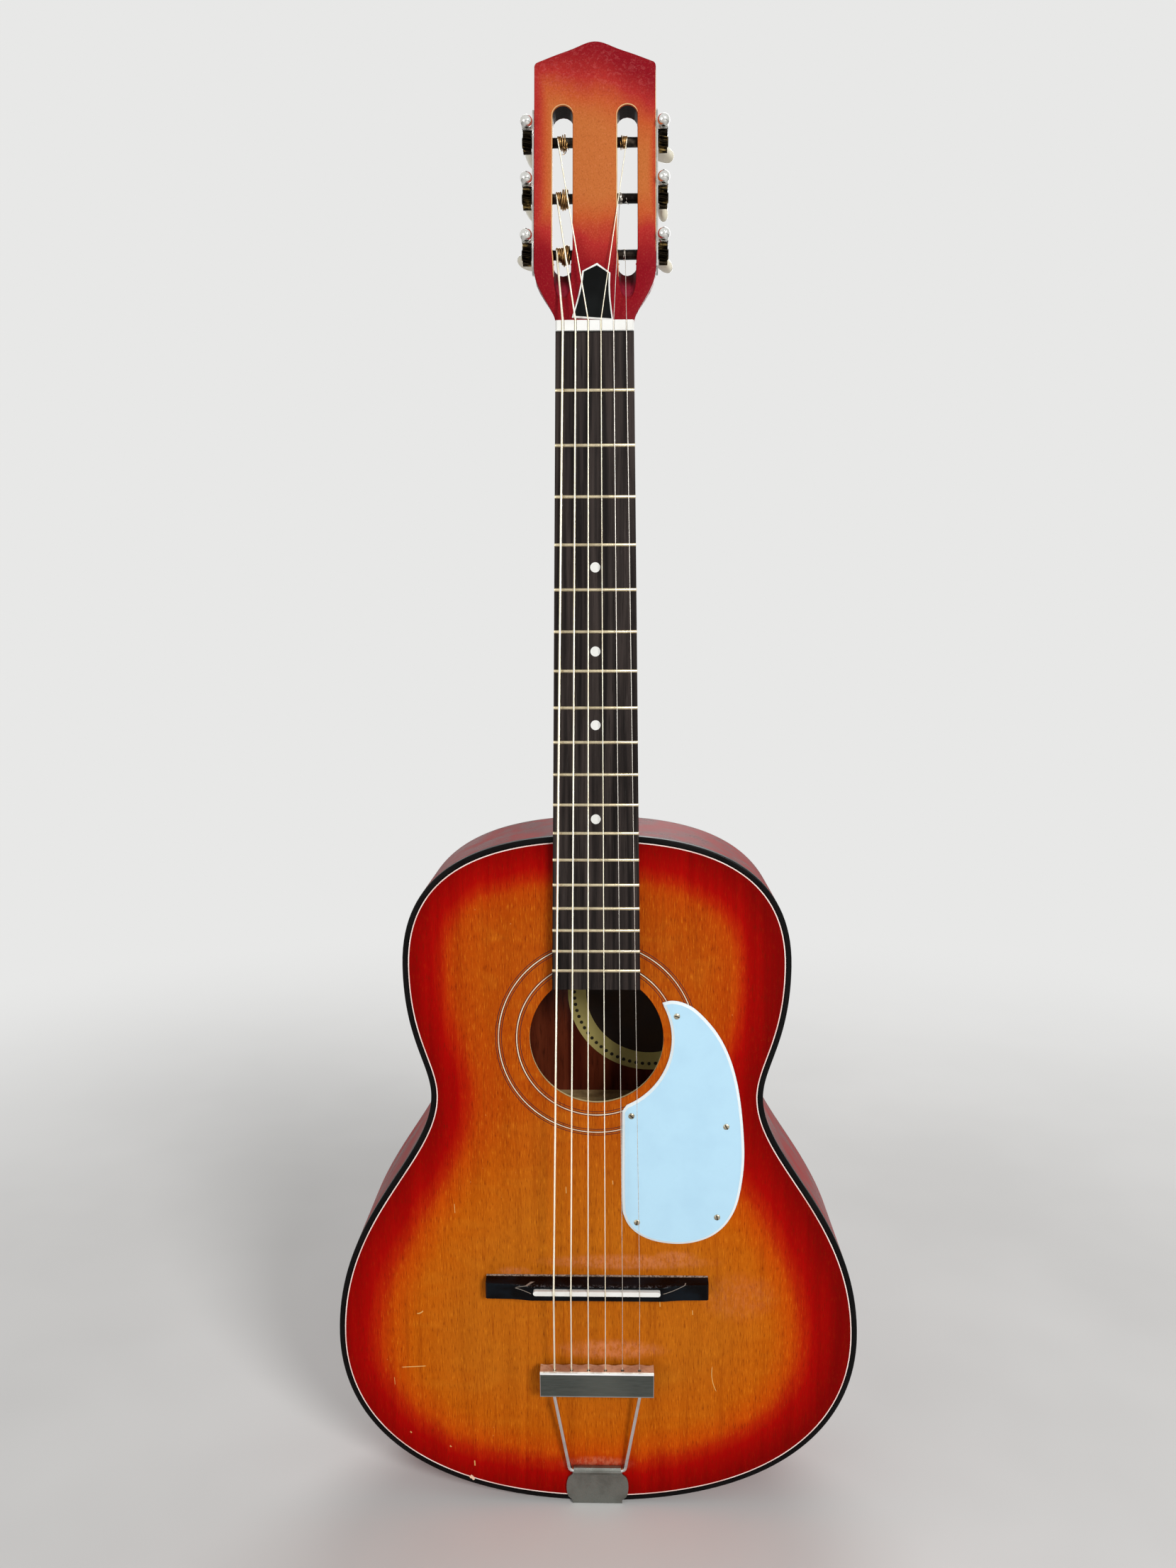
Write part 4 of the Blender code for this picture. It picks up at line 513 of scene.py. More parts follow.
CHROME = metal("chrome", (226, 228, 228), (150, 148, 142), 0.14, scale=260.0, amount=0.35)
STIPPLED = metal("stippled_tab", (134, 136, 130), (98, 98, 92), 0.42, scale=900.0, relief=0.00008)
DARK_STEEL = metal("dark_steel", (84, 74, 64), (34, 28, 24), 0.38, scale=240.0, relief=0.00006)
FRET_METAL = metal("fret_metal", (214, 200, 168), (140, 124, 96), 0.3, scale=300.0, amount=0.4)
SCREW_METAL = metal("screw_metal", (196, 186, 162), (104, 88, 66), 0.3, scale=600.0)
BRONZE = wound_string("bronze_winding", (255, 252, 232), (232, 214, 176))
PLAIN = metal("plain_steel", (238, 232, 222), (176, 164, 146), 0.25, scale=500.0, amount=0.4)
BALL = metal("ball_plate", (232, 232, 228), (170, 164, 152), 0.16, scale=300.0, amount=0.35)
COIL = metal("coil_bronze", (186, 146, 92), (104, 72, 40), 0.34, scale=500.0, amount=0.5)
WORN = moulded("bare_wear", (240, 206, 176), (214, 150, 120), 0.6, 700.0, 0.0002)
# Pale bare wood for the slot and head edges, painted as highlight
LIT_EDGE = moulded("lit_edge", (226, 186, 130), (188, 96, 60), 0.5, 260.0)
SLOT_SHADE = moulded("painted_slot_shade", (12, 9, 8), (22, 18, 16), 0.6)
PAPER = moulded("label_paper", (202, 186, 112), (168, 150, 82), 0.75, 700.0)
PAPER_PRINT_AND_SHADOW = moulded("label_middle", (34, 20, 12), (58, 38, 20), 0.75, 500.0)
PAPER_INK = moulded("label_ink", (40, 34, 20), (60, 52, 30), 0.75, 700.0)

def add_object(name, data):
    made = bpy.data.objects.new(name, data)
    bpy.context.scene.collection.objects.link(made)
    return made


def wear(material, *nodes):
    """Gives solids their finished material."""
    for node in nodes:
        slots = NODES[node].data.materials
        for index in range(len(slots)):
            slots[index] = material


def piece(name, mesh, material, body=BODY, smooth=None):
    """A visible piece on a body, smooth but for edges sharper than an angle in degrees."""
    made = add_object(name, mesh)
    mesh.materials.clear()
    mesh.materials.append(material)
    if smooth:
        mesh.shade_smooth()
        mesh.set_sharp_from_angle(angle=math.radians(smooth))
    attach(made, body)
    return made


wear(BACK, "back_plate")
wear(RIB, "left_rib", "right_rib")
wear(HEAD_WOOD, "neck")
wear(INNER, "top_lining_left", "top_lining_right", "back_lining_left", "back_lining_right",
     "neck_block", "tail_block")
wear(DARK_STEEL, "neck_steel_bar")
wear(WHITE, "nut", "saddle", "headstock_badge")
wear(BRIDGE_BLACK, "bridge")
wear(CHROME, "tailpiece_frame")
wear(STIPPLED, "tailpiece_hanger")
wear(NICKEL, "tuner_plate_left", "tuner_plate_right")
wear(BRONZE, "string_1", "string_2", "string_3", "string_4")
wear(PLAIN, "string_5", "string_6")


def bar_look():
    """The tailpiece bar, painted with its light: a brushed cover painted dark as shade with a lighter sheen
    down its middle, a flange facing the bridge painted near white as a highlight with worn specks, and
    painted highlights on the ridge between and along the hem and ends.
    """
    look = Look("tailpiece_metal", 0.34, 0.75, specular=0.3)
    fine = look.noise(900.0, (0.1, 1, 1), 4.0, 0.6)
    cloud = look.noise(60.0, detail=4.0)
    speck = look.noise(500.0, detail=4.0, shift=3.0)
    # The cover is painted dark as shade, with a painted sheen lighter down its middle.
    middle = look.step(look.math("ABSOLUTE", look.along(RIGHT, (0.004, 0, 0))), 0.026, 0.002, 0.0, 0.35)
    cover = look.blend(fine, 0.3, 0.7, (80, 86, 82), (92, 97, 93))
    cover = look.mix(middle, cover, (116, 121, 114))
    # The flange is painted near white as a highlight, with darker worn specks.
    flange = look.blend(cloud, 0.42, 0.62, (250, 246, 234), (206, 190, 176))
    flange = look.cover(flange, speck, 0.58, 0.70, 0.45, (150, 132, 112))
    made = look.mix(look.step(look.along(UP), 0.1031, 0.1036), cover, flange)
    # Painted highlights: white along the ridge, and paler along the hem and the ends.
    ridge = look.times(look.step(look.along(FRONT), 0.0145, 0.0149),
                      look.step(look.along(UP), 0.1022, 0.1027))
    hem = look.step(look.along(DOWN), -0.0864, -0.0860)
    ends = look.step(look.math("ABSOLUTE", look.along(RIGHT)), 0.0374, 0.0378)
    edge = look.most(look.times(hem, 0.35), look.times(ends, 0.55))
    made = look.mix(edge, made, (226, 228, 224))
    look.colour(look.mix(ridge, made, (252, 253, 253)))
    look.rough(fine, 0.34, 0.46)
    return look.bump(fine, 0.00002).material


def worm_look():
    """Dark thread and shaft, with a bright ball in front of the plate."""
    look = Look("worm_metal", 0.3, 1.0)
    cloud = look.noise(120.0, detail=4.0)
    fine = look.noise(500.0, detail=4.0)
    depth = look.along(HEAD_IN, HEAD_START)
    dark = look.blend(cloud, 0.45, 0.8, (24, 20, 17), (84, 68, 44))
    ball = look.blend(cloud, 0.45, 0.75, (230, 230, 226), (150, 144, 132))
    front = look.step(depth, 0.0010, 0.0004)
    look.colour(look.mix(front, dark, ball))
    look.plug(look.math("MULTIPLY_ADD", front, -0.20, 0.40), look.shader.inputs["Roughness"])
    return look.bump(fine, 0.00003).material


def roller_look():
    """Dark roller across the slot; the brass gear is painted mostly dark as shade, with brass on the flats
    where its teeth catch light.
    """
    look = Look("roller_metal", 0.36, 1.0)
    cloud = look.noise(140.0, detail=4.0)
    fine = look.noise(500.0, detail=4.0)
    aside = look.math("ABSOLUTE", look.along(RIGHT))
    dark = look.blend(cloud, 0.45, 0.8, (26, 22, 20), (92, 82, 72))
    # Painted shade: the gear's brass is mostly dark, showing its own colour only in patches.
    brass = look.blend(cloud, 0.52, 0.70, (34, 28, 20), (150, 124, 74))
    look.colour(look.blend(aside, 0.0386, 0.0390, dark, brass))
    look.rough(fine, 0.30, 0.46)
    return look.bump(fine, 0.00004).material


wear(bar_look(), "tailpiece_bar")
WORM = worm_look()
ROLLER = roller_look()
for number in (1, 2, 3):
    wear(SPRUCE, f"top_brace_{number}", f"back_brace_{number}")
    wear(BUTTON, f"button_left_{number}", f"button_right_{number}")
    wear(WORM, f"worm_left_{number}", f"worm_right_{number}")
    wear(ROLLER, f"roller_gear_left_{number}", f"roller_gear_right_{number}")


# Shapes shared by several pieces
OUTLINE_STEPS = 40


def whole_outline(inset=0.0):
    """The body's outline from the neck end down the right and up the left, moved in by the inset."""
    (ux, uz), (wx, wz), (lx, lz) = UPPER, WAIST, LOWER
    bends = (
        ((0, BODY_LENGTH), (0.40 * ux, BODY_LENGTH), (ux, uz + 0.90 * (BODY_LENGTH - uz)), UPPER),
        (UPPER, (ux, uz - 0.57 * (uz - wz)), (wx, wz + 0.24 * (uz - wz)), WAIST),
        (WAIST, (wx, wz - 0.26 * (wz - lz)), (lx, lz + 0.51 * (wz - lz)), LOWER),
        (LOWER, (lx, lz - 0.59 * lz), (0.65 * lx, 0), (0, 0)),
    )
    fine = []
    for bend in bends:
        run = interpolate_bezier(*(Vector((a, b, 0)) for a, b in bend), OUTLINE_STEPS + 1)
        fine += run if not fine else run[1:]
    right = []
    for index, here in enumerate(fine):
        before = fine[index - 1] if index else Vector((-fine[1].x, fine[1].y, 0))
        after = fine[index + 1] if index + 1 < len(fine) else Vector((-fine[-2].x, fine[-2].y, 0))
        run = (after - before).normalized()
        right.append((here.x + run.y * inset, here.y - run.x * inset))
    return right + [(-x, z) for x, z in reversed(right[1:-1])]


def arc(radius, steps, centre, start, sweep):
    turns = [start + sweep * k / steps for k in range(steps + 1)]
    return [(centre[0] + radius * math.cos(a), centre[1] + radius * math.sin(a)) for a in turns]


def circle(radius, steps, centre=(0.0, 0.0)):
    return arc(radius, steps, centre, 0.0, 2 * math.pi)[:-1]


def inside_loop(loop, x, z):
    crossed = False
    for (x0, z0), (x1, z1) in zip(loop, loop[1:] + loop[:1]):
        if (z0 > z) != (z1 > z) and x < x0 + (z - z0) * (x1 - x0) / (z1 - z0):
            crossed = not crossed
    return crossed


def level(loop, depth):
    """Places in X and Z, all at one depth."""
    return [(x, depth, z) for x, z in loop]


def skin(bm, loops, closed=False):
    """Faces between neighbouring loops of one count, and from the last loop to the first if closed."""
    rows = [[bm.verts.new(place) for place in loop] for loop in loops]
    for one, two in zip(rows, rows[1:] + (rows[:1] if closed else [])):
        for k in range(len(one)):
            j = (k + 1) % len(one)
            bm.faces.new((one[k], one[j], two[j], two[k]))
    return rows


def to_mesh(bm, name):
    bmesh.ops.recalc_face_normals(bm, faces=bm.faces)
    mesh = bpy.data.meshes.new(name)
    bm.to_mesh(mesh)
    bm.free()
    return mesh


def swept(name, loops, closed=False, ends=(0, -1)):
    """A mesh through loops of places, with a face over each of the loops named as its ends."""
    bm = bmesh.new()
    rows = skin(bm, loops, closed)
    for end in () if closed else ends:
        bm.faces.new(rows[end])
    return to_mesh(bm, name)


def loft(name, loops, material, body=BODY, smooth=None, place=None):
    mesh = swept(name, loops)
    if place:
        mesh.transform(place)
    return piece(name, mesh, material, body, smooth)


def strip(name, outer, inner, front, behind, material):
    """A flat closed strip between two loops, from one depth to another."""
    loops = [level(outer, front), level(inner, front), level(inner, behind), level(outer, behind)]
    return piece(name, swept(name, loops, True), material)


def bar(name, points, radii, sides, material, body=BODY):
    """A round bar along a line of points, with one radius or a list of them."""
    curve = bpy.data.curves.new(name, "CURVE")
    curve.dimensions = "3D"
    curve.bevel_depth = 1.0
    curve.bevel_resolution = sides // 2 - 2
    curve.use_fill_caps = True
    spline = curve.splines.new("POLY")
    spline.points.add(len(points) - 1)
    radii = radii if isinstance(radii, list) else [radii] * len(points)
    for point, place, radius in zip(spline.points, points, radii):
        point.co = (*place, 1)
        point.radius = radius
    guide = add_object(name, curve)
    bpy.context.view_layer.update()
    mesh = bpy.data.meshes.new_from_object(guide.evaluated_get(bpy.context.evaluated_depsgraph_get()))
    bpy.data.objects.remove(guide)
    return piece(name, mesh, material, body, 60)


# Soundboard: a fine mesh that knows how far each point is from the rim
GRID_STEP = 0.004
EDGE_ROOM = 0.0018


def make_top():
    rim = whole_outline(BINDING_WIDTH + GAP)
    hole = circle(HOLE_RADIUS, 160, (0, HOLE_Z))
    edge = np.array(whole_outline(), float)
    ahead = np.roll(edge, -1, 0)

    def rim_distance(points):
        points = np.asarray(points, float)
        best = np.full(len(points), 9.0)
        for a, b in zip(edge, ahead):
            run = b - a
            share = np.clip(((points - a) @ run) / (run @ run), 0, 1)
            gap = points - (a + share[:, None] * run)
            best = np.minimum(best, np.hypot(gap[:, 0], gap[:, 1]))
        return best

    xs = np.arange(-0.18, 0.18, GRID_STEP).tolist()
    zs = np.arange(0.0, BODY_LENGTH, GRID_STEP).tolist()
    grid = [(x + (0.5 * GRID_STEP if k % 2 else 0.0), z) for k, z in enumerate(zs) for x in xs]
    grid = np.array([p for p in grid if inside_loop(rim, *p)])
    grid = grid[rim_distance(grid) > BINDING_WIDTH + GAP + EDGE_ROOM]
    grid = grid[np.hypot(grid[:, 0], grid[:, 1] - HOLE_Z) > HOLE_RADIUS + EDGE_ROOM]
    points = [Vector(p) for p in rim + hole + grid.tolist()]
    edges = [(k, (k + 1) % len(rim)) for k in range(len(rim))]
    edges += [(len(rim) + k, len(rim) + (k + 1) % len(hole)) for k in range(len(hole))]
    flat, _, faces, *_ = delaunay_2d_cdt(points, edges, [], 1, 1e-8)
    flat = np.array([(v.x, v.y) for v in flat])
    bm = bmesh.new()
    front = [bm.verts.new((x, 0.0, z)) for x, z in flat]
    for face in faces:
        middle = flat[list(face)].mean(0)
        if math.hypot(middle[0], middle[1] - HOLE_Z) > HOLE_RADIUS:
            bm.faces.new([front[k] for k in face])
    grown = bmesh.ops.extrude_face_region(bm, geom=list(bm.faces))["geom"]
    bmesh.ops.translate(bm, verts=[g for g in grown if isinstance(g, bmesh.types.BMVert)],
                        vec=(0, TOP_THICKNESS, 0))
    bmesh.ops.delete(bm, geom=[v for v in bm.verts if not v.link_faces], context="VERTS")
    mesh = to_mesh(bm, "top_face")
    places = np.array([(v.co.x, v.co.z) for v in mesh.vertices])
    layer = mesh.attributes.new("rim", "FLOAT", "POINT")
    layer.data.foreach_set("value", rim_distance(places).astype(np.float32))
    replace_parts(piece("top_face", mesh, TOP), "soundboard")


def make_binding():
    """The black strip round the soundboard's edge, with its outer corner rounded."""
    corner = 0.0008
    profile = [(0.0, BINDING_DEPTH)]
    for k in range(6):
        angle = math.pi / 2 * k / 5
        profile.append((corner * (1 - math.cos(angle)), corner * (1 - math.sin(angle))))
    profile += [(BINDING_WIDTH, 0.0), (BINDING_WIDTH, BINDING_DEPTH)]
    mesh = swept("binding_strip", [level(whole_outline(inset), y) for inset, y in profile], True)
    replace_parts(piece("binding_strip", mesh, BLACK, smooth=40), "top_binding")
    proud = 0.00004
    strip("purfling", whole_outline(0.00380), whole_outline(0.00448), -proud, TOP_THICKNESS / 2, PURFLING)
    lip = whole_outline(BINDING_WIDTH + 0.0002), whole_outline(0.00378)
    strip("binding_lip", *lip, -proud * 0.7, 0.0010, BLACK)


# Inner and outer radius of each ring of the rosette, and one for the pale ones
RINGS = ((0.0497, 0.0502, 0), (0.0512, 0.0518, 0), (0.0518, 0.0524, 1), (0.0524, 0.0530, 0),
         (0.0618, 0.0623, 0), (0.0631, 0.0637, 0), (0.0637, 0.0643, 1), (0.0643, 0.0649, 0),
         (0.0657, 0.0662, 0))


def make_rosette():
    for number, (inner, outer, pale) in enumerate(RINGS, 1):
        loops = [circle(radius, 128, (0, HOLE_Z)) for radius in (outer, inner)]
        material = ROSETTE if pale else ROSETTE_DARK
        strip(f"rosette_{number}", *loops, -0.00004 - 0.00002 * pale, 0.0010, material)


def make_shell():
    """Smooth ribs with the cut for the neck's tenon, and the back with its edge eased."""
    tenon_half = 0.0125
    front = BINDING_DEPTH + GAP
    behind = -BACK_THICKNESS - GAP
    rows = []
    for (x, z), (inner_x, inner_z) in zip(whole_outline(), whole_outline(RIB_THICKNESS)):
        if abs(x) >= tenon_half or z <= BODY_LENGTH / 2:
            rows.append([(x, front, z), (x, body_depth(z) + behind, z),
                         (inner_x, body_depth(inner_z) + behind, inner_z), (inner_x, front, inner_z)])
    ribs = loft("ribs", rows, RIB, smooth=40)
    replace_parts(ribs, "left_rib", "right_rib")
    rows = [[(x, body_depth(z) - lift, z) for x, z in whole_outline(inset)] for inset, lift in (
        (0.0, BACK_THICKNESS), (0.0, 0.0010), (0.0002, 0.0005), (0.0006, 0.0001), (0.0012, 0.0))]
    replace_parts(loft("back", rows, BACK, smooth=30), "back_plate")


# The label: centre in X and Z, radius, where its top is cut off, radius of the middle, then the ring of dots
LABEL_CENTRE, LABEL_RADIUS, LABEL_TOP, LABEL_MIDDLE = (0.0365, 0.3366), 0.0580, 0.3900, 0.0450
DOT_RING, DOT_COUNT, DOT_RADIUS = 0.0535, 72, 0.0013


def make_label():
    """A round paper glued inside the back, with a plain ring of dots."""
    def on_back(loop, *lifts):
        return [[(x, body_depth(z) - BACK_THICKNESS - lift, z) for x, z in loop] for lift in lifts]

    def cut_circle(radius, top):
        loop = [(x, min(z, top)) for x, z in circle(radius, 120, LABEL_CENTRE)]
        return [p for k, p in enumerate(loop) if min(p[1], loop[k - 1][1], loop[(k + 1) % 120][1]) < top]

    loft("label", on_back(cut_circle(LABEL_RADIUS, LABEL_TOP), 0.0, 0.00025), PAPER)
    # The dark middle is partly the label's printed drawing and partly painted shadow inside the body.
    loft("label_middle", on_back(cut_circle(LABEL_MIDDLE, LABEL_TOP - 0.0005), 0.0002, 0.00035), PAPER_PRINT_AND_SHADOW)
    bm = bmesh.new()
    for place in circle(DOT_RING, DOT_COUNT, LABEL_CENTRE):
        if place[1] <= LABEL_TOP - 0.002:
            for face in skin(bm, on_back(circle(DOT_RADIUS, 10, place), 0.0002, 0.0003)):
                bm.faces.new(face)
    piece("label_dots", to_mesh(bm, "label_dots"), PAPER_INK)


def make_chip():
    """A small bare place where the binding was knocked, low on the left."""
    shape = ((0.0, 0.0030), (0.0014, 0.0018), (0.0026, 0.0004), (0.0030, -0.0014), (0.0016, -0.0022),
             (0.0004, -0.0008), (-0.0010, -0.0002), (-0.0018, 0.0012), (-0.0008, 0.0020))
    centre = min(whole_outline(0.0034), key=lambda p: math.hypot(p[0] + 0.0888, p[1] - 0.0113))
    loop = [(0.8 * x + centre[0], 0.8 * z + centre[1]) for x, z in shape]
    loft("binding_chip", [level(loop, 0.0004), level(loop, -0.00007)], WORN)


make_top()
make_binding()
make_rosette()
make_shell()
make_label()
make_chip()

# Fingerboard with its frets as separate crowned bars, and the dots
NUT_WIDTH = 0.0470
TWELFTH_WIDTH = 0.0542
BOARD_STEPS = 40
DOT_FRETS = (5, 7, 9, 12)


def board_half(z):
    return (NUT_WIDTH + (TWELFTH_WIDTH - NUT_WIDTH) / (SCALE_LENGTH / 2) * (NUT_Z - z)) / 2


def make_board():
    low, high = BOARD_END_Z, NUT_Z - GAP
    edge = 0.0004
    loops = []
    for k in range(BOARD_STEPS + 1):
        z = low + (high - low) * k / BOARD_STEPS
        half = board_half(z)
        loops.append([(-half, -GAP, z), (-half, -BOARD_TOP + edge, z), (-half + edge, -BOARD_TOP, z),
                      (half - edge, -BOARD_TOP, z), (half, -BOARD_TOP + edge, z), (half, -GAP, z)])
    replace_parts(loft("board", loops, ROSEWOOD), "fingerboard")
    crown = [(0.0011 * math.cos(a), 0.0010 * math.sin(a) ** 0.8) for a in (math.pi * k / 8 for k in range(9))]
    for number in range(1, FRET_COUNT + 1):
        z = fret_z(number)
        half = board_half(z)
        stations = ((-half, 0.55), (-half + 0.0009, 1.0), (0.0, 1.0), (half - 0.0009, 1.0), (half, 0.55))
        loops = [[(x, -BOARD_TOP + 0.0002 - h * share, z + w) for w, h in crown] for x, share in stations]
        loft(f"fret_{number}", loops, FRET_METAL, smooth=40)
        if number in DOT_FRETS:
            middle = (z + fret_z(number - 1)) / 2
            loops = [level(circle(radius, 32, (0, middle)), -BOARD_TOP + y)
                     for radius, y in ((0.0031, 0.0005), (0.0031, -0.00002), (0.0029, -0.00006))]
            loft(f"dot_{number}", loops, DOT_WHITE)


make_board()

# Pickguard: the plate's face inside a pale bevelled rim, and its screws, placed from the hole's centre
GUARD_EDGE = (
    (0.0428, 0.0245), (0.0490, 0.0259), (0.0572, 0.0242), (0.0661, 0.0186), (0.0780, 0.0050),
    (0.0866, -0.0115), (0.0925, -0.0325), (0.0960, -0.0590), (0.0970, -0.0850), (0.0936, -0.1100),
    (0.0875, -0.1245), (0.0785, -0.1340), (0.0665, -0.1395), (0.0523, -0.1412), (0.0367, -0.1388),
    (0.0250, -0.1325), (0.0185, -0.1230), (0.0168, -0.1080), (0.0168, -0.0490),
)
GUARD_ARC_RADIUS = 0.0490
GUARD_THICKNESS = 0.0016
GUARD_BEVEL = 0.0018
GUARD_SCREWS = ((0.0522, 0.3452), (0.0228, 0.2774), (0.0850, 0.2704), (0.0796, 0.2076), (0.0266, 0.2036))
SCREW_RADIUS = 0.0020


def smooth_through(points, steps):
    line = []
    for k in range(len(points) - 1):
        before, here, there = points[max(k - 1, 0)], points[k], points[k + 1]
        after = points[min(k + 2, len(points) - 1)]
        bend = [Vector((*here, 0)), Vector((*there, 0))]
        leave = bend[0] + Vector((there[0] - before[0], there[1] - before[1], 0)) / 6
        arrive = bend[1] - Vector((after[0] - here[0], after[1] - here[1], 0)) / 6
        line += [(v.x, v.y) for v in interpolate_bezier(bend[0], leave, arrive, bend[1], steps + 1)[:-1]]
    return line + [points[-1]]


def inset_loop(loop, amount):
    """Moves a closed loop, drawn clockwise, inwards."""
    moved = []
    for k, here in enumerate(loop):
        before, here, after = Vector(loop[k - 1]), Vector(here), Vector(loop[(k + 1) % len(loop)])
        one, two = (here - before).normalized(), (after - here).normalized()
        normal = (Vector((one.y, -one.x)) + Vector((two.y, -two.x)))
        normal.normalize()
        cosine = max(0.5, normal.dot(Vector((one.y, -one.x))))
        moved.append(tuple(here + normal * amount / cosine))
    return moved


def make_guard():
    round_hole = arc(GUARD_ARC_RADIUS, 36, (0, 0), math.radians(29.8), math.radians(-98.8))
    loop = [(x, HOLE_Z + z) for x, z in smooth_through(GUARD_EDGE, 6) + round_hole[::-1][1:-1]]
    front = -GAP - GUARD_THICKNESS
    inner = inset_loop(loop, GUARD_BEVEL)
    lines = [level(loop, -GAP), level(loop, -GAP - 0.0005), level(inner, front), level(inner, front + 0.0003),
             level(inner, -GAP)]
    rim = piece("pickguard_rim", swept("pickguard_rim", lines, True), GUARD_RIM)
    face = inset_loop(loop, GUARD_BEVEL + 0.00002)
    loft("pickguard_face", [level(face, -GAP - 0.0001), level(face, front)], GUARD)
    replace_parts(rim, "pickguard")
    for number, (x, z) in enumerate(GUARD_SCREWS, 1):
        make_screw(f"guard_screw_{number}", Matrix.Translation((x, front, z)), 20 * number)


def make_screw(name, place, turn):
    """A domed screw, its slot a dark block of painted shade, turned by an angle in degrees."""
    place = place @ Matrix.Rotation(math.radians(turn), 4, "Y")
    rows = [level(circle(SCREW_RADIUS, 24), 0.0)]
    for share in (0.97, 0.85, 0.62, 0.34):
        rows.append(level(circle(SCREW_RADIUS * share, 24), -0.0002 - 0.0006 * math.sqrt(1 - share ** 2)))
    mesh = swept(name, rows, ends=(-1,))
    mesh.transform(place)
    piece(name, mesh, SCREW_METAL, smooth=40)
    # The slot is not cut: a dark block sits in the dome as painted shade.
    bm = bmesh.new()
    size = Matrix.Diagonal((SCREW_RADIUS * 1.7, 0.0003, SCREW_RADIUS * 0.34, 1))
    bmesh.ops.create_cube(bm, size=1.0, matrix=Matrix.Translation((0, -0.00072, 0)) @ size)
    bmesh.ops.bevel(bm, geom=list(bm.edges), offset=0.00005, segments=1, affect="EDGES")
    mesh = to_mesh(bm, f"{name}_slot")
    mesh.transform(place)
    piece(f"{name}_slot", mesh, SLOT_SHADE)


make_guard()


# Headstock plate: the white solid is the border, and a black field lies in it
def make_badge():
    low, high = 0.0020, 0.0365
    half, shoulder = 0.0125 - 0.0011, 0.0085 - 0.0009
    start, top, tip = low + 0.0011, 0.0310 - 0.0004, high - 0.0014
    side = [(half + (shoulder - half) * math.sin(k / 8 * math.pi / 2), start + (top - start) * k / 8)
            for k in range(9)]
    loop = side + [(0, tip)] + [(-x, u) for x, u in reversed(side)]
    centre = Matrix.Translation((0, 0, (low + high) / 2))
    tilt = HEAD @ centre @ Matrix.Rotation(math.radians(4.5), 4, "Y") @ centre.inverted()
    loft("badge_field", [level(loop, -0.0009), level(loop, -0.00128)], BADGE_BLACK, place=tilt)


make_badge()

# Headstock: a polished face whose edges are eased, on the front of the solid
HEAD_LOW_HALF = 0.0235
HEAD_FULL = 0.0340
HEAD_SHOULDER = 0.1620
HEAD_TOP = 0.1745
# Half the width of the slot on the face, up from the trough
SLOT_SIDES = ((0.0277, 0.0051), (0.0330, 0.00525), (0.0375, 0.00540), (0.0410, 0.00560), (0.0435, 0.00585),
              (0.0460, 0.0062))
TROUGH_LENGTH = 0.0129
# The eased edge: how far in, and how deep
EASED = ((0.0007, -0.00030), (0.0003, -0.00022), (0.00005, 0.00005), (-0.00006, 0.0004), (-0.00006, 0.0009))


def head_loop(inset):
    right = [(HEAD_LOW_HALF + 0.0001, 0.0005)]
    for k in range(1, 17):
        flare = (k / 16) ** 0.85
        flare = flare * flare * (3 - 2 * flare)
        right.append((HEAD_LOW_HALF + (HEAD_HALF - HEAD_LOW_HALF) * flare, HEAD_FULL * (k / 16)))
    radius = 0.003
    *corner, low = arc(radius, 6, (HEAD_HALF - radius, HEAD_SHOULDER - radius), 0.0, math.radians(75))
    climb = HEAD_TOP - low[1]
    crest = [low] + [(low[0] * (1 - share), low[1] + climb * rise)
                     for share, rise in ((0.30, 0.33), (0.60, 0.63), (0.84, 0.915))]
    ridge = crest + [(0.0, HEAD_TOP)] + [(-x, u) for x, u in reversed(crest)]
    right += corner
    line = right + smooth_through(ridge, 5) + [(-x, u) for x, u in reversed(right)]
    return inset_loop(line[::-1], inset)


def slot_hole(side, grow):
    """The slot as the face shows it: round above, and below a long trough that the string comes in by."""
    centre = side * SLOT_X
    top = arc(SLOT_SIDES[-1][1] + grow, 16, (centre, SLOT_ENDS[1] - SLOT_HALF), 0.0, math.pi)
    wall = [(half + grow, u) for u, half in SLOT_SIDES]
    wide, high = wall[0]
    trough = []
    for k in range(1, 24):
        angle = math.pi + math.pi * k / 24
        trough.append((centre + wide * math.cos(angle), high + (TROUGH_LENGTH + grow) * math.sin(angle)))
    left, right = ([(centre + way * half, u) for half, u in wall] for way in (-1, 1))
    return top + left[::-1] + trough + right


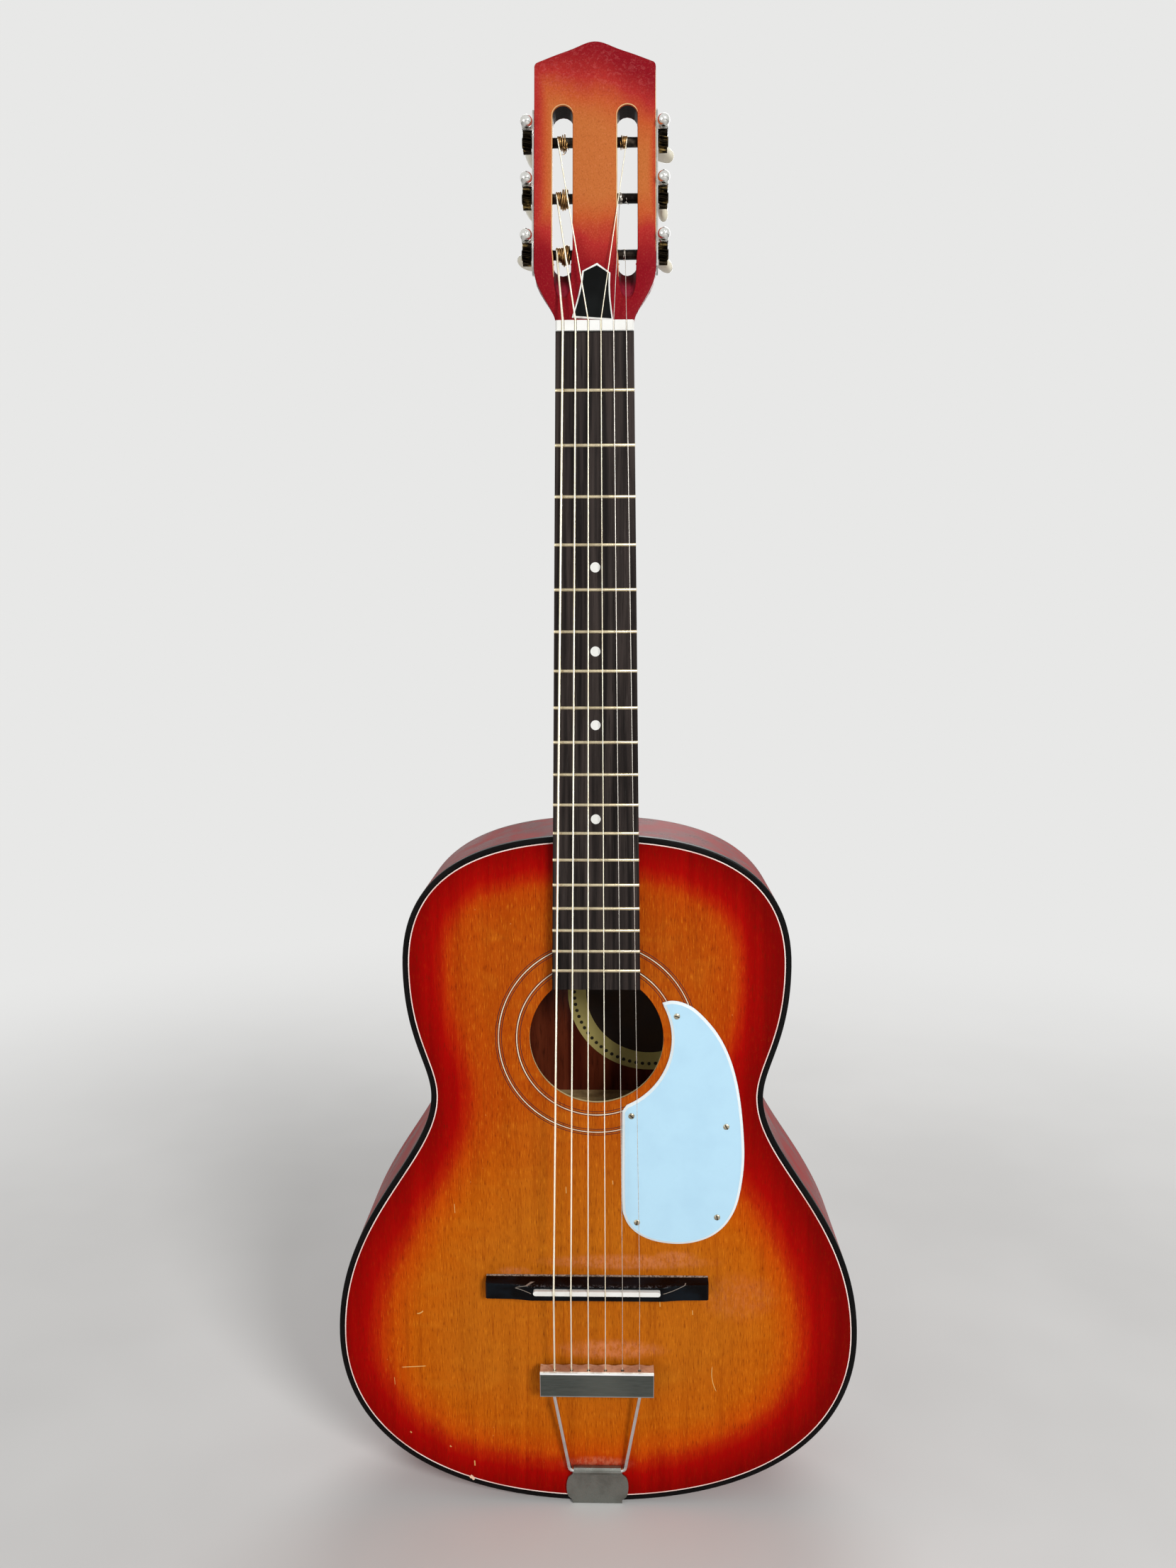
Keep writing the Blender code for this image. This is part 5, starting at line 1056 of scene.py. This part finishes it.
def make_head_face():
    outer = [(head_loop(inset), depth) for inset, depth in EASED]
    slots = [[(slot_hole(side, inset), depth) for inset, depth in EASED] for side in (-1, 1)]
    bm = bmesh.new()
    skins = [skin(bm, [level(*row) for row in rows]) for rows in [outer] + slots]
    for index in (0, len(EASED) - 1):
        corners, edges = [], []
        for rows in skins:
            start, count = len(corners), len(rows[index])
            edges += [(start + k, start + (k + 1) % count) for k in range(count)]
            corners += rows[index]
        faces = delaunay_2d_cdt([Vector((v.co.x, v.co.z)) for v in corners], edges, [], 1, 1e-9)[2]
        holes = [rows[index][0] for rows in slots]
        for face in faces:
            x = sum(corners[k].co.x for k in face) / len(face)
            u = sum(corners[k].co.z for k in face) / len(face)
            if not any(inside_loop(hole, x, u) for hole in holes):
                bm.faces.new([corners[k] for k in face])
    mesh = to_mesh(bm, "head_face")
    mesh.transform(HEAD)
    piece("head_face", mesh, HEAD_WOOD, smooth=35)
    # Pale lines along each slot's left edge and round its top are painted highlight, where light from the
    # right catches the pale bare wood of the wall.
    for number, side in enumerate((-1, 1), 1):
        grow = 0.00035
        worn = slot_hole(side, grow)[1:17]
        worn += [(side * SLOT_X - SLOT_HALF - 0.00005, u) for u in (0.110, 0.095, 0.080, 0.065, 0.050)]
        worn += [(side * SLOT_X - half - grow, u) for u, half in SLOT_SIDES[::-1]]
        last = len(worn) - 1
        radii = [0.00010 + 0.00022 * min(1.0, k / 3, (last - k) / 2) for k in range(last + 1)]
        bar(f"lit_edge_{number}", [HEAD @ Vector((x, -0.00012, u)) for x, u in worn], radii, 8, LIT_EDGE)
    # The pale line down the head's right edge is painted highlight as well.
    heights = (0.156, 0.140, 0.120, 0.100, 0.080, 0.060, 0.044)
    side = [head_point(HEAD_HALF - 0.0002, -0.00004, u) for u in heights]
    bar("head_lit_edge", side, [0.0001] + [0.00024] * 5 + [0.0001], 8, LIT_EDGE)


def head_point(x, y, u):
    return HEAD @ Vector((x, y, u))


make_head_face()

# Tuners: round balls over the worms' front ends, and smooth knobs, each turned by some degrees
BALL_RADIUS, BALL_SPREAD, BALL_Y = 0.00376, 0.80, -0.0032
BALL_FOOT = ((0.0019, -0.0036), (0.0019, -0.0041))
KNOB_TURNS = (15.0, 62.0, 70.0, 40.0, 75.0, 20.0)
KNOB_HALVES = (0.00825, 0.00875, 0.0032)
KNOB_Y = ROLLER_Y + 0.00625 + 0.0190 - 0.0080


def make_tuner_trim():
    wide, long, thick = KNOB_HALVES
    for index, turn in enumerate(KNOB_TURNS):
        side, word = ((-1, "left"), (1, "right"))[index // 3]
        number = index % 3 + 1
        u = ROLLERS[number - 1] + WORM_OFFSET
        body = f"tuner_key_{word}_{number}"
        rounds = []
        for k in range(1, 18):
            angle = math.pi * (0.04 + BALL_SPREAD * k / 17)
            rounds.append((BALL_RADIUS * math.sin(angle), BALL_RADIUS * math.cos(angle)))
        rows = [[(side * GEAR_X + x, BALL_Y - high, u + z) for x, z in circle(radius, 32)]
                for radius, high in (*rounds, *BALL_FOOT)]
        loft(f"ball_{word}_{number}", rows, BALL, body, 50, HEAD)
        bm = bmesh.new()
        bmesh.ops.create_uvsphere(bm, u_segments=40, v_segments=28, radius=1.0)
        for vertex in bm.verts:
            corner = Matrix.Rotation(-math.pi / 2, 3, "X") @ vertex.co
            x, y, z = (math.copysign(abs(c) ** 0.8, c) for c in corner)
            neck = 1 - 0.38 * max(0.0, -y) ** 1.5
            waist = 1 - 0.05 * math.exp(-((y + 0.55) / 0.18) ** 2)
            vertex.co = (x * wide * neck * waist, (y + 1) * long, z * thick * neck * waist)
        spin = Matrix.Rotation(math.radians(turn), 3, "Y")
        bmesh.ops.rotate(bm, verts=bm.verts, cent=(0, 0, 0), matrix=spin)
        mesh = to_mesh(bm, f"knob_{word}_{number}")
        mesh.transform(HEAD @ Matrix.Translation((side * GEAR_X, KNOB_Y, u)))
        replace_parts(piece(f"knob_{word}_{number}", mesh, BUTTON, body, 60), f"button_{word}_{number}")


make_tuner_trim()

# Strings on their rollers: tight turns ride on the roller, and a short run leads each string to them
# For each string the count of its tight turns and the radii of the slack hoops after them
WINDING_TURNS = ((2, (0.0052, 0.0057, 0.0050, 0.0046)), (2, (0.0056, 0.0058, 0.0054, 0.0048)),
                 (2, (0.0044, 0.0050, 0.0042)), (3, (0.0038, 0.0040)), (3, ()), (3, ()))
TURN_STEPS = 36
# The loose ends: place in X, drop, sway and turns
CURLS = {1: ((-0.0176, 0.0035, 0.0008, 1.0),),
         2: ((-0.0190, 0.0068, 0.0016, 1.6), (-0.0172, 0.0052, 0.0012, 1.2)),
         3: ((0.0178, 0.0040, 0.0012, 1.1),), 4: ((0.0190, 0.0046, 0.0013, 1.2),)}
NUT_SPREAD = 0.0380


def winding_line(number, row, x, way, tight, step):
    """Tight turns that go over into slack hoops, from a place in X and onwards one way."""
    turns, hoops = WINDING_TURNS[number]
    radii = [tight] * (turns + 1) + list(hoops)
    count = (len(radii) - 1) * TURN_STEPS
    places = []
    for k in range(count + 1):
        share, turn = (k % TURN_STEPS) / TURN_STEPS, k // TURN_STEPS
        here, there = radii[turn], radii[min(turn + 1, len(radii) - 1)]
        radius = here + (there - here) * share * share * (3 - 2 * share)
        slack = max(0.0, radius - tight)
        angle = 2 * math.pi * k / TURN_STEPS
        lean = slack * 0.30 * math.sin(angle + number)
        radius -= (radius - 0.0022) * max(0.0, 1 - min(k, count - k) / 5)
        places.append(head_point(x + lean, ROLLER_Y - radius * math.cos(angle),
                                 ROLLERS[row] + radius * math.sin(angle) - 0.25 * slack))
        x += way * (step if slack < 0.0003 else 0.0013) / TURN_STEPS
    return places


def curl_line(x, u, drop, sway, turns):
    """The loose end of a string, curling down in front of its roller."""
    places = []
    for k in range(25):
        share = k / 24
        swing = 2 * math.pi * turns * share
        depth = 0.0042 - 0.0022 * share * math.cos(swing)
        places.append(head_point(x + sway * share * math.sin(swing), depth, u - 0.0012 - drop * share))
    return places


def make_windings():
    for number, diameter in enumerate(STRINGS):
        side, word, row = (-1, "left", number) if number < 3 else (1, "right", 5 - number)
        u = ROLLERS[row]
        body = f"roller_{word}_{row + 1}"
        radius = ROLLER_RADIUS + diameter / 2 + 0.00003
        x0 = side * STRING_AT_ROLLER[number]
        material = COIL if number < 4 else PLAIN
        points = winding_line(number, row, x0, WINDING_WAY[number] * side, radius, diameter * 1.06)
        coil = bar(f"coil_{number + 1}", points, diameter / 2, 8, material, body)
        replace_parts(coil, f"winding_{number + 1}")
        thin = max(diameter * 0.28, 0.00013)
        for k, (x, *curl) in enumerate(CURLS.get(number, ()), 1):
            bar(f"curl_{number + 1}_{k}", curl_line(x, u, *curl), thin, 6, material, body)
        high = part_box(f"string_{number + 1}")[1].z
        x = -NUT_SPREAD / 2 + NUT_SPREAD * number / 5
        nut = Vector((x, -(BOARD_TOP + 0.0011 + GAP + diameter / 2), NUT_Z + 0.0060))
        behind = HEAD.inverted() @ nut
        across, up = ROLLER_Y - behind.y, u - behind.z
        turn = math.atan2(across, up) - math.asin(radius / math.hypot(across, up))
        meets = head_point(x0, ROLLER_Y - radius * math.cos(turn), u + radius * math.sin(turn))
        run = meets - nut
        start = nut + run * ((high - 0.0006 - nut.z) / run.z)
        bar(f"string_end_{number + 1}", [start, start + (meets - start) * 0.5, meets], diameter / 2, 10,
            BRONZE if number < 4 else PLAIN)


make_windings()

# Camera, light and floor
BACKGROUND = (232, 232, 231)
FLOOR_LIGHT = (230, 229, 227)
FLOOR_DARK = (222, 221, 219)
FLOOR_HALF = 6
SENSOR = 36.0
FOCAL_PIXELS, PHOTO_PIXELS = 1750.0, 2212.0
CAMERA_TURN = Vector((0.13363, 0.02206, -0.00166))
CAMERA_PLACE = (0.01238, -0.77938, 0.60164)


def make_floor():
    """A pale floor that keeps the guitar's shadow and runs into an even pale background."""
    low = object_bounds()[0].z
    mesh = bpy.data.meshes.new("floor")
    corners = [(x * FLOOR_HALF, y * FLOOR_HALF, low) for x, y in ((-1, -1), (1, -1), (1, 1), (-1, 1))]
    mesh.from_pydata(corners, [], [(0, 1, 2, 3)])
    floor = add_object("floor", mesh)
    look = Look("pale_floor", 0.75, specular=0.1)
    look.colour(look.blend(look.noise(3.0), 0.3, 0.7, FLOOR_DARK, FLOOR_LIGHT))
    away = look.node("VectorMath", look.place)
    away.operation = "LENGTH"
    rays = look.node("LightPath").outputs
    seen = look.times(look.step(away.outputs["Value"], 0.45, 1.6), rays["Is Camera Ray"])
    plain = look.node("Emission", BACKGROUND)
    blend = look.node("MixShader", seen, look.shader.outputs[0], plain.outputs[0])
    look.plug(blend.outputs[0], look.tree.nodes["Material Output"].inputs["Surface"])
    mesh.materials.append(look.material)


def make_world():
    """An even pale background, with less of its light on the guitar."""
    world = bpy.data.worlds.new("studio")
    bpy.context.scene.world = world
    world.use_nodes = True
    tree = world.node_tree
    shown = tree.nodes["Background"]
    shown.inputs["Color"].default_value = rgb(*BACKGROUND)
    shown.inputs["Strength"].default_value = 1.0
    lit = add_node(tree, "Background", (255, 255, 255), 0.30)
    rays = add_node(tree, "LightPath").outputs
    seen = rays["Is Camera Ray"]
    for ray in ("Is Transmission Ray", "Is Glossy Ray"):
        either = add_node(tree, "Math", seen, rays[ray])
        either.operation = "MAXIMUM"
        seen = either.outputs[0]
    blend = add_node(tree, "MixShader", seen, lit.outputs[0], shown.outputs[0])
    tree.links.new(blend.outputs[0], tree.nodes["World Output"].inputs[0])


def add_light(name, place, target, size, power):
    lamp = bpy.data.lights.new(name, "AREA")
    lamp.shape = "DISK"
    lamp.size = size
    lamp.energy = power
    made = add_object(name, lamp)
    made.location = place
    made.rotation_euler = (Vector(target) - Vector(place)).to_track_quat("-Z", "Y").to_euler()


def make_camera():
    camera = bpy.data.cameras.new("camera")
    made = add_object("camera", camera)
    bpy.context.scene.camera = made
    camera.sensor_fit = "AUTO"
    camera.sensor_width = SENSOR
    camera.lens = FOCAL_PIXELS / PHOTO_PIXELS * SENSOR
    camera.clip_start = 0.01
    look = Matrix.Rotation(CAMERA_TURN.length, 3, CAMERA_TURN.normalized())
    right, down, ahead = look @ Matrix(((1, 0, 0), (0, 0, -1), (0, 1, 0)))
    turned = Matrix((right, -down, -ahead)).transposed().to_4x4()
    made.matrix_world = Matrix.Translation(CAMERA_PLACE) @ turned


make_floor()
make_world()
add_light("key", (1.25, -2.3, 1.5), (0, 0, 0.4), 0.8, 50.0)
add_light("fill", (-1.9, -2.0, 0.7), (0, 0, 0.4), 1.6, 14.0)
add_light("back_light", (0.3, 1.8, 1.6), (0, 0, 0.45), 1.4, 18.0)
make_camera()
bpy.context.scene.view_settings.view_transform = "Standard"
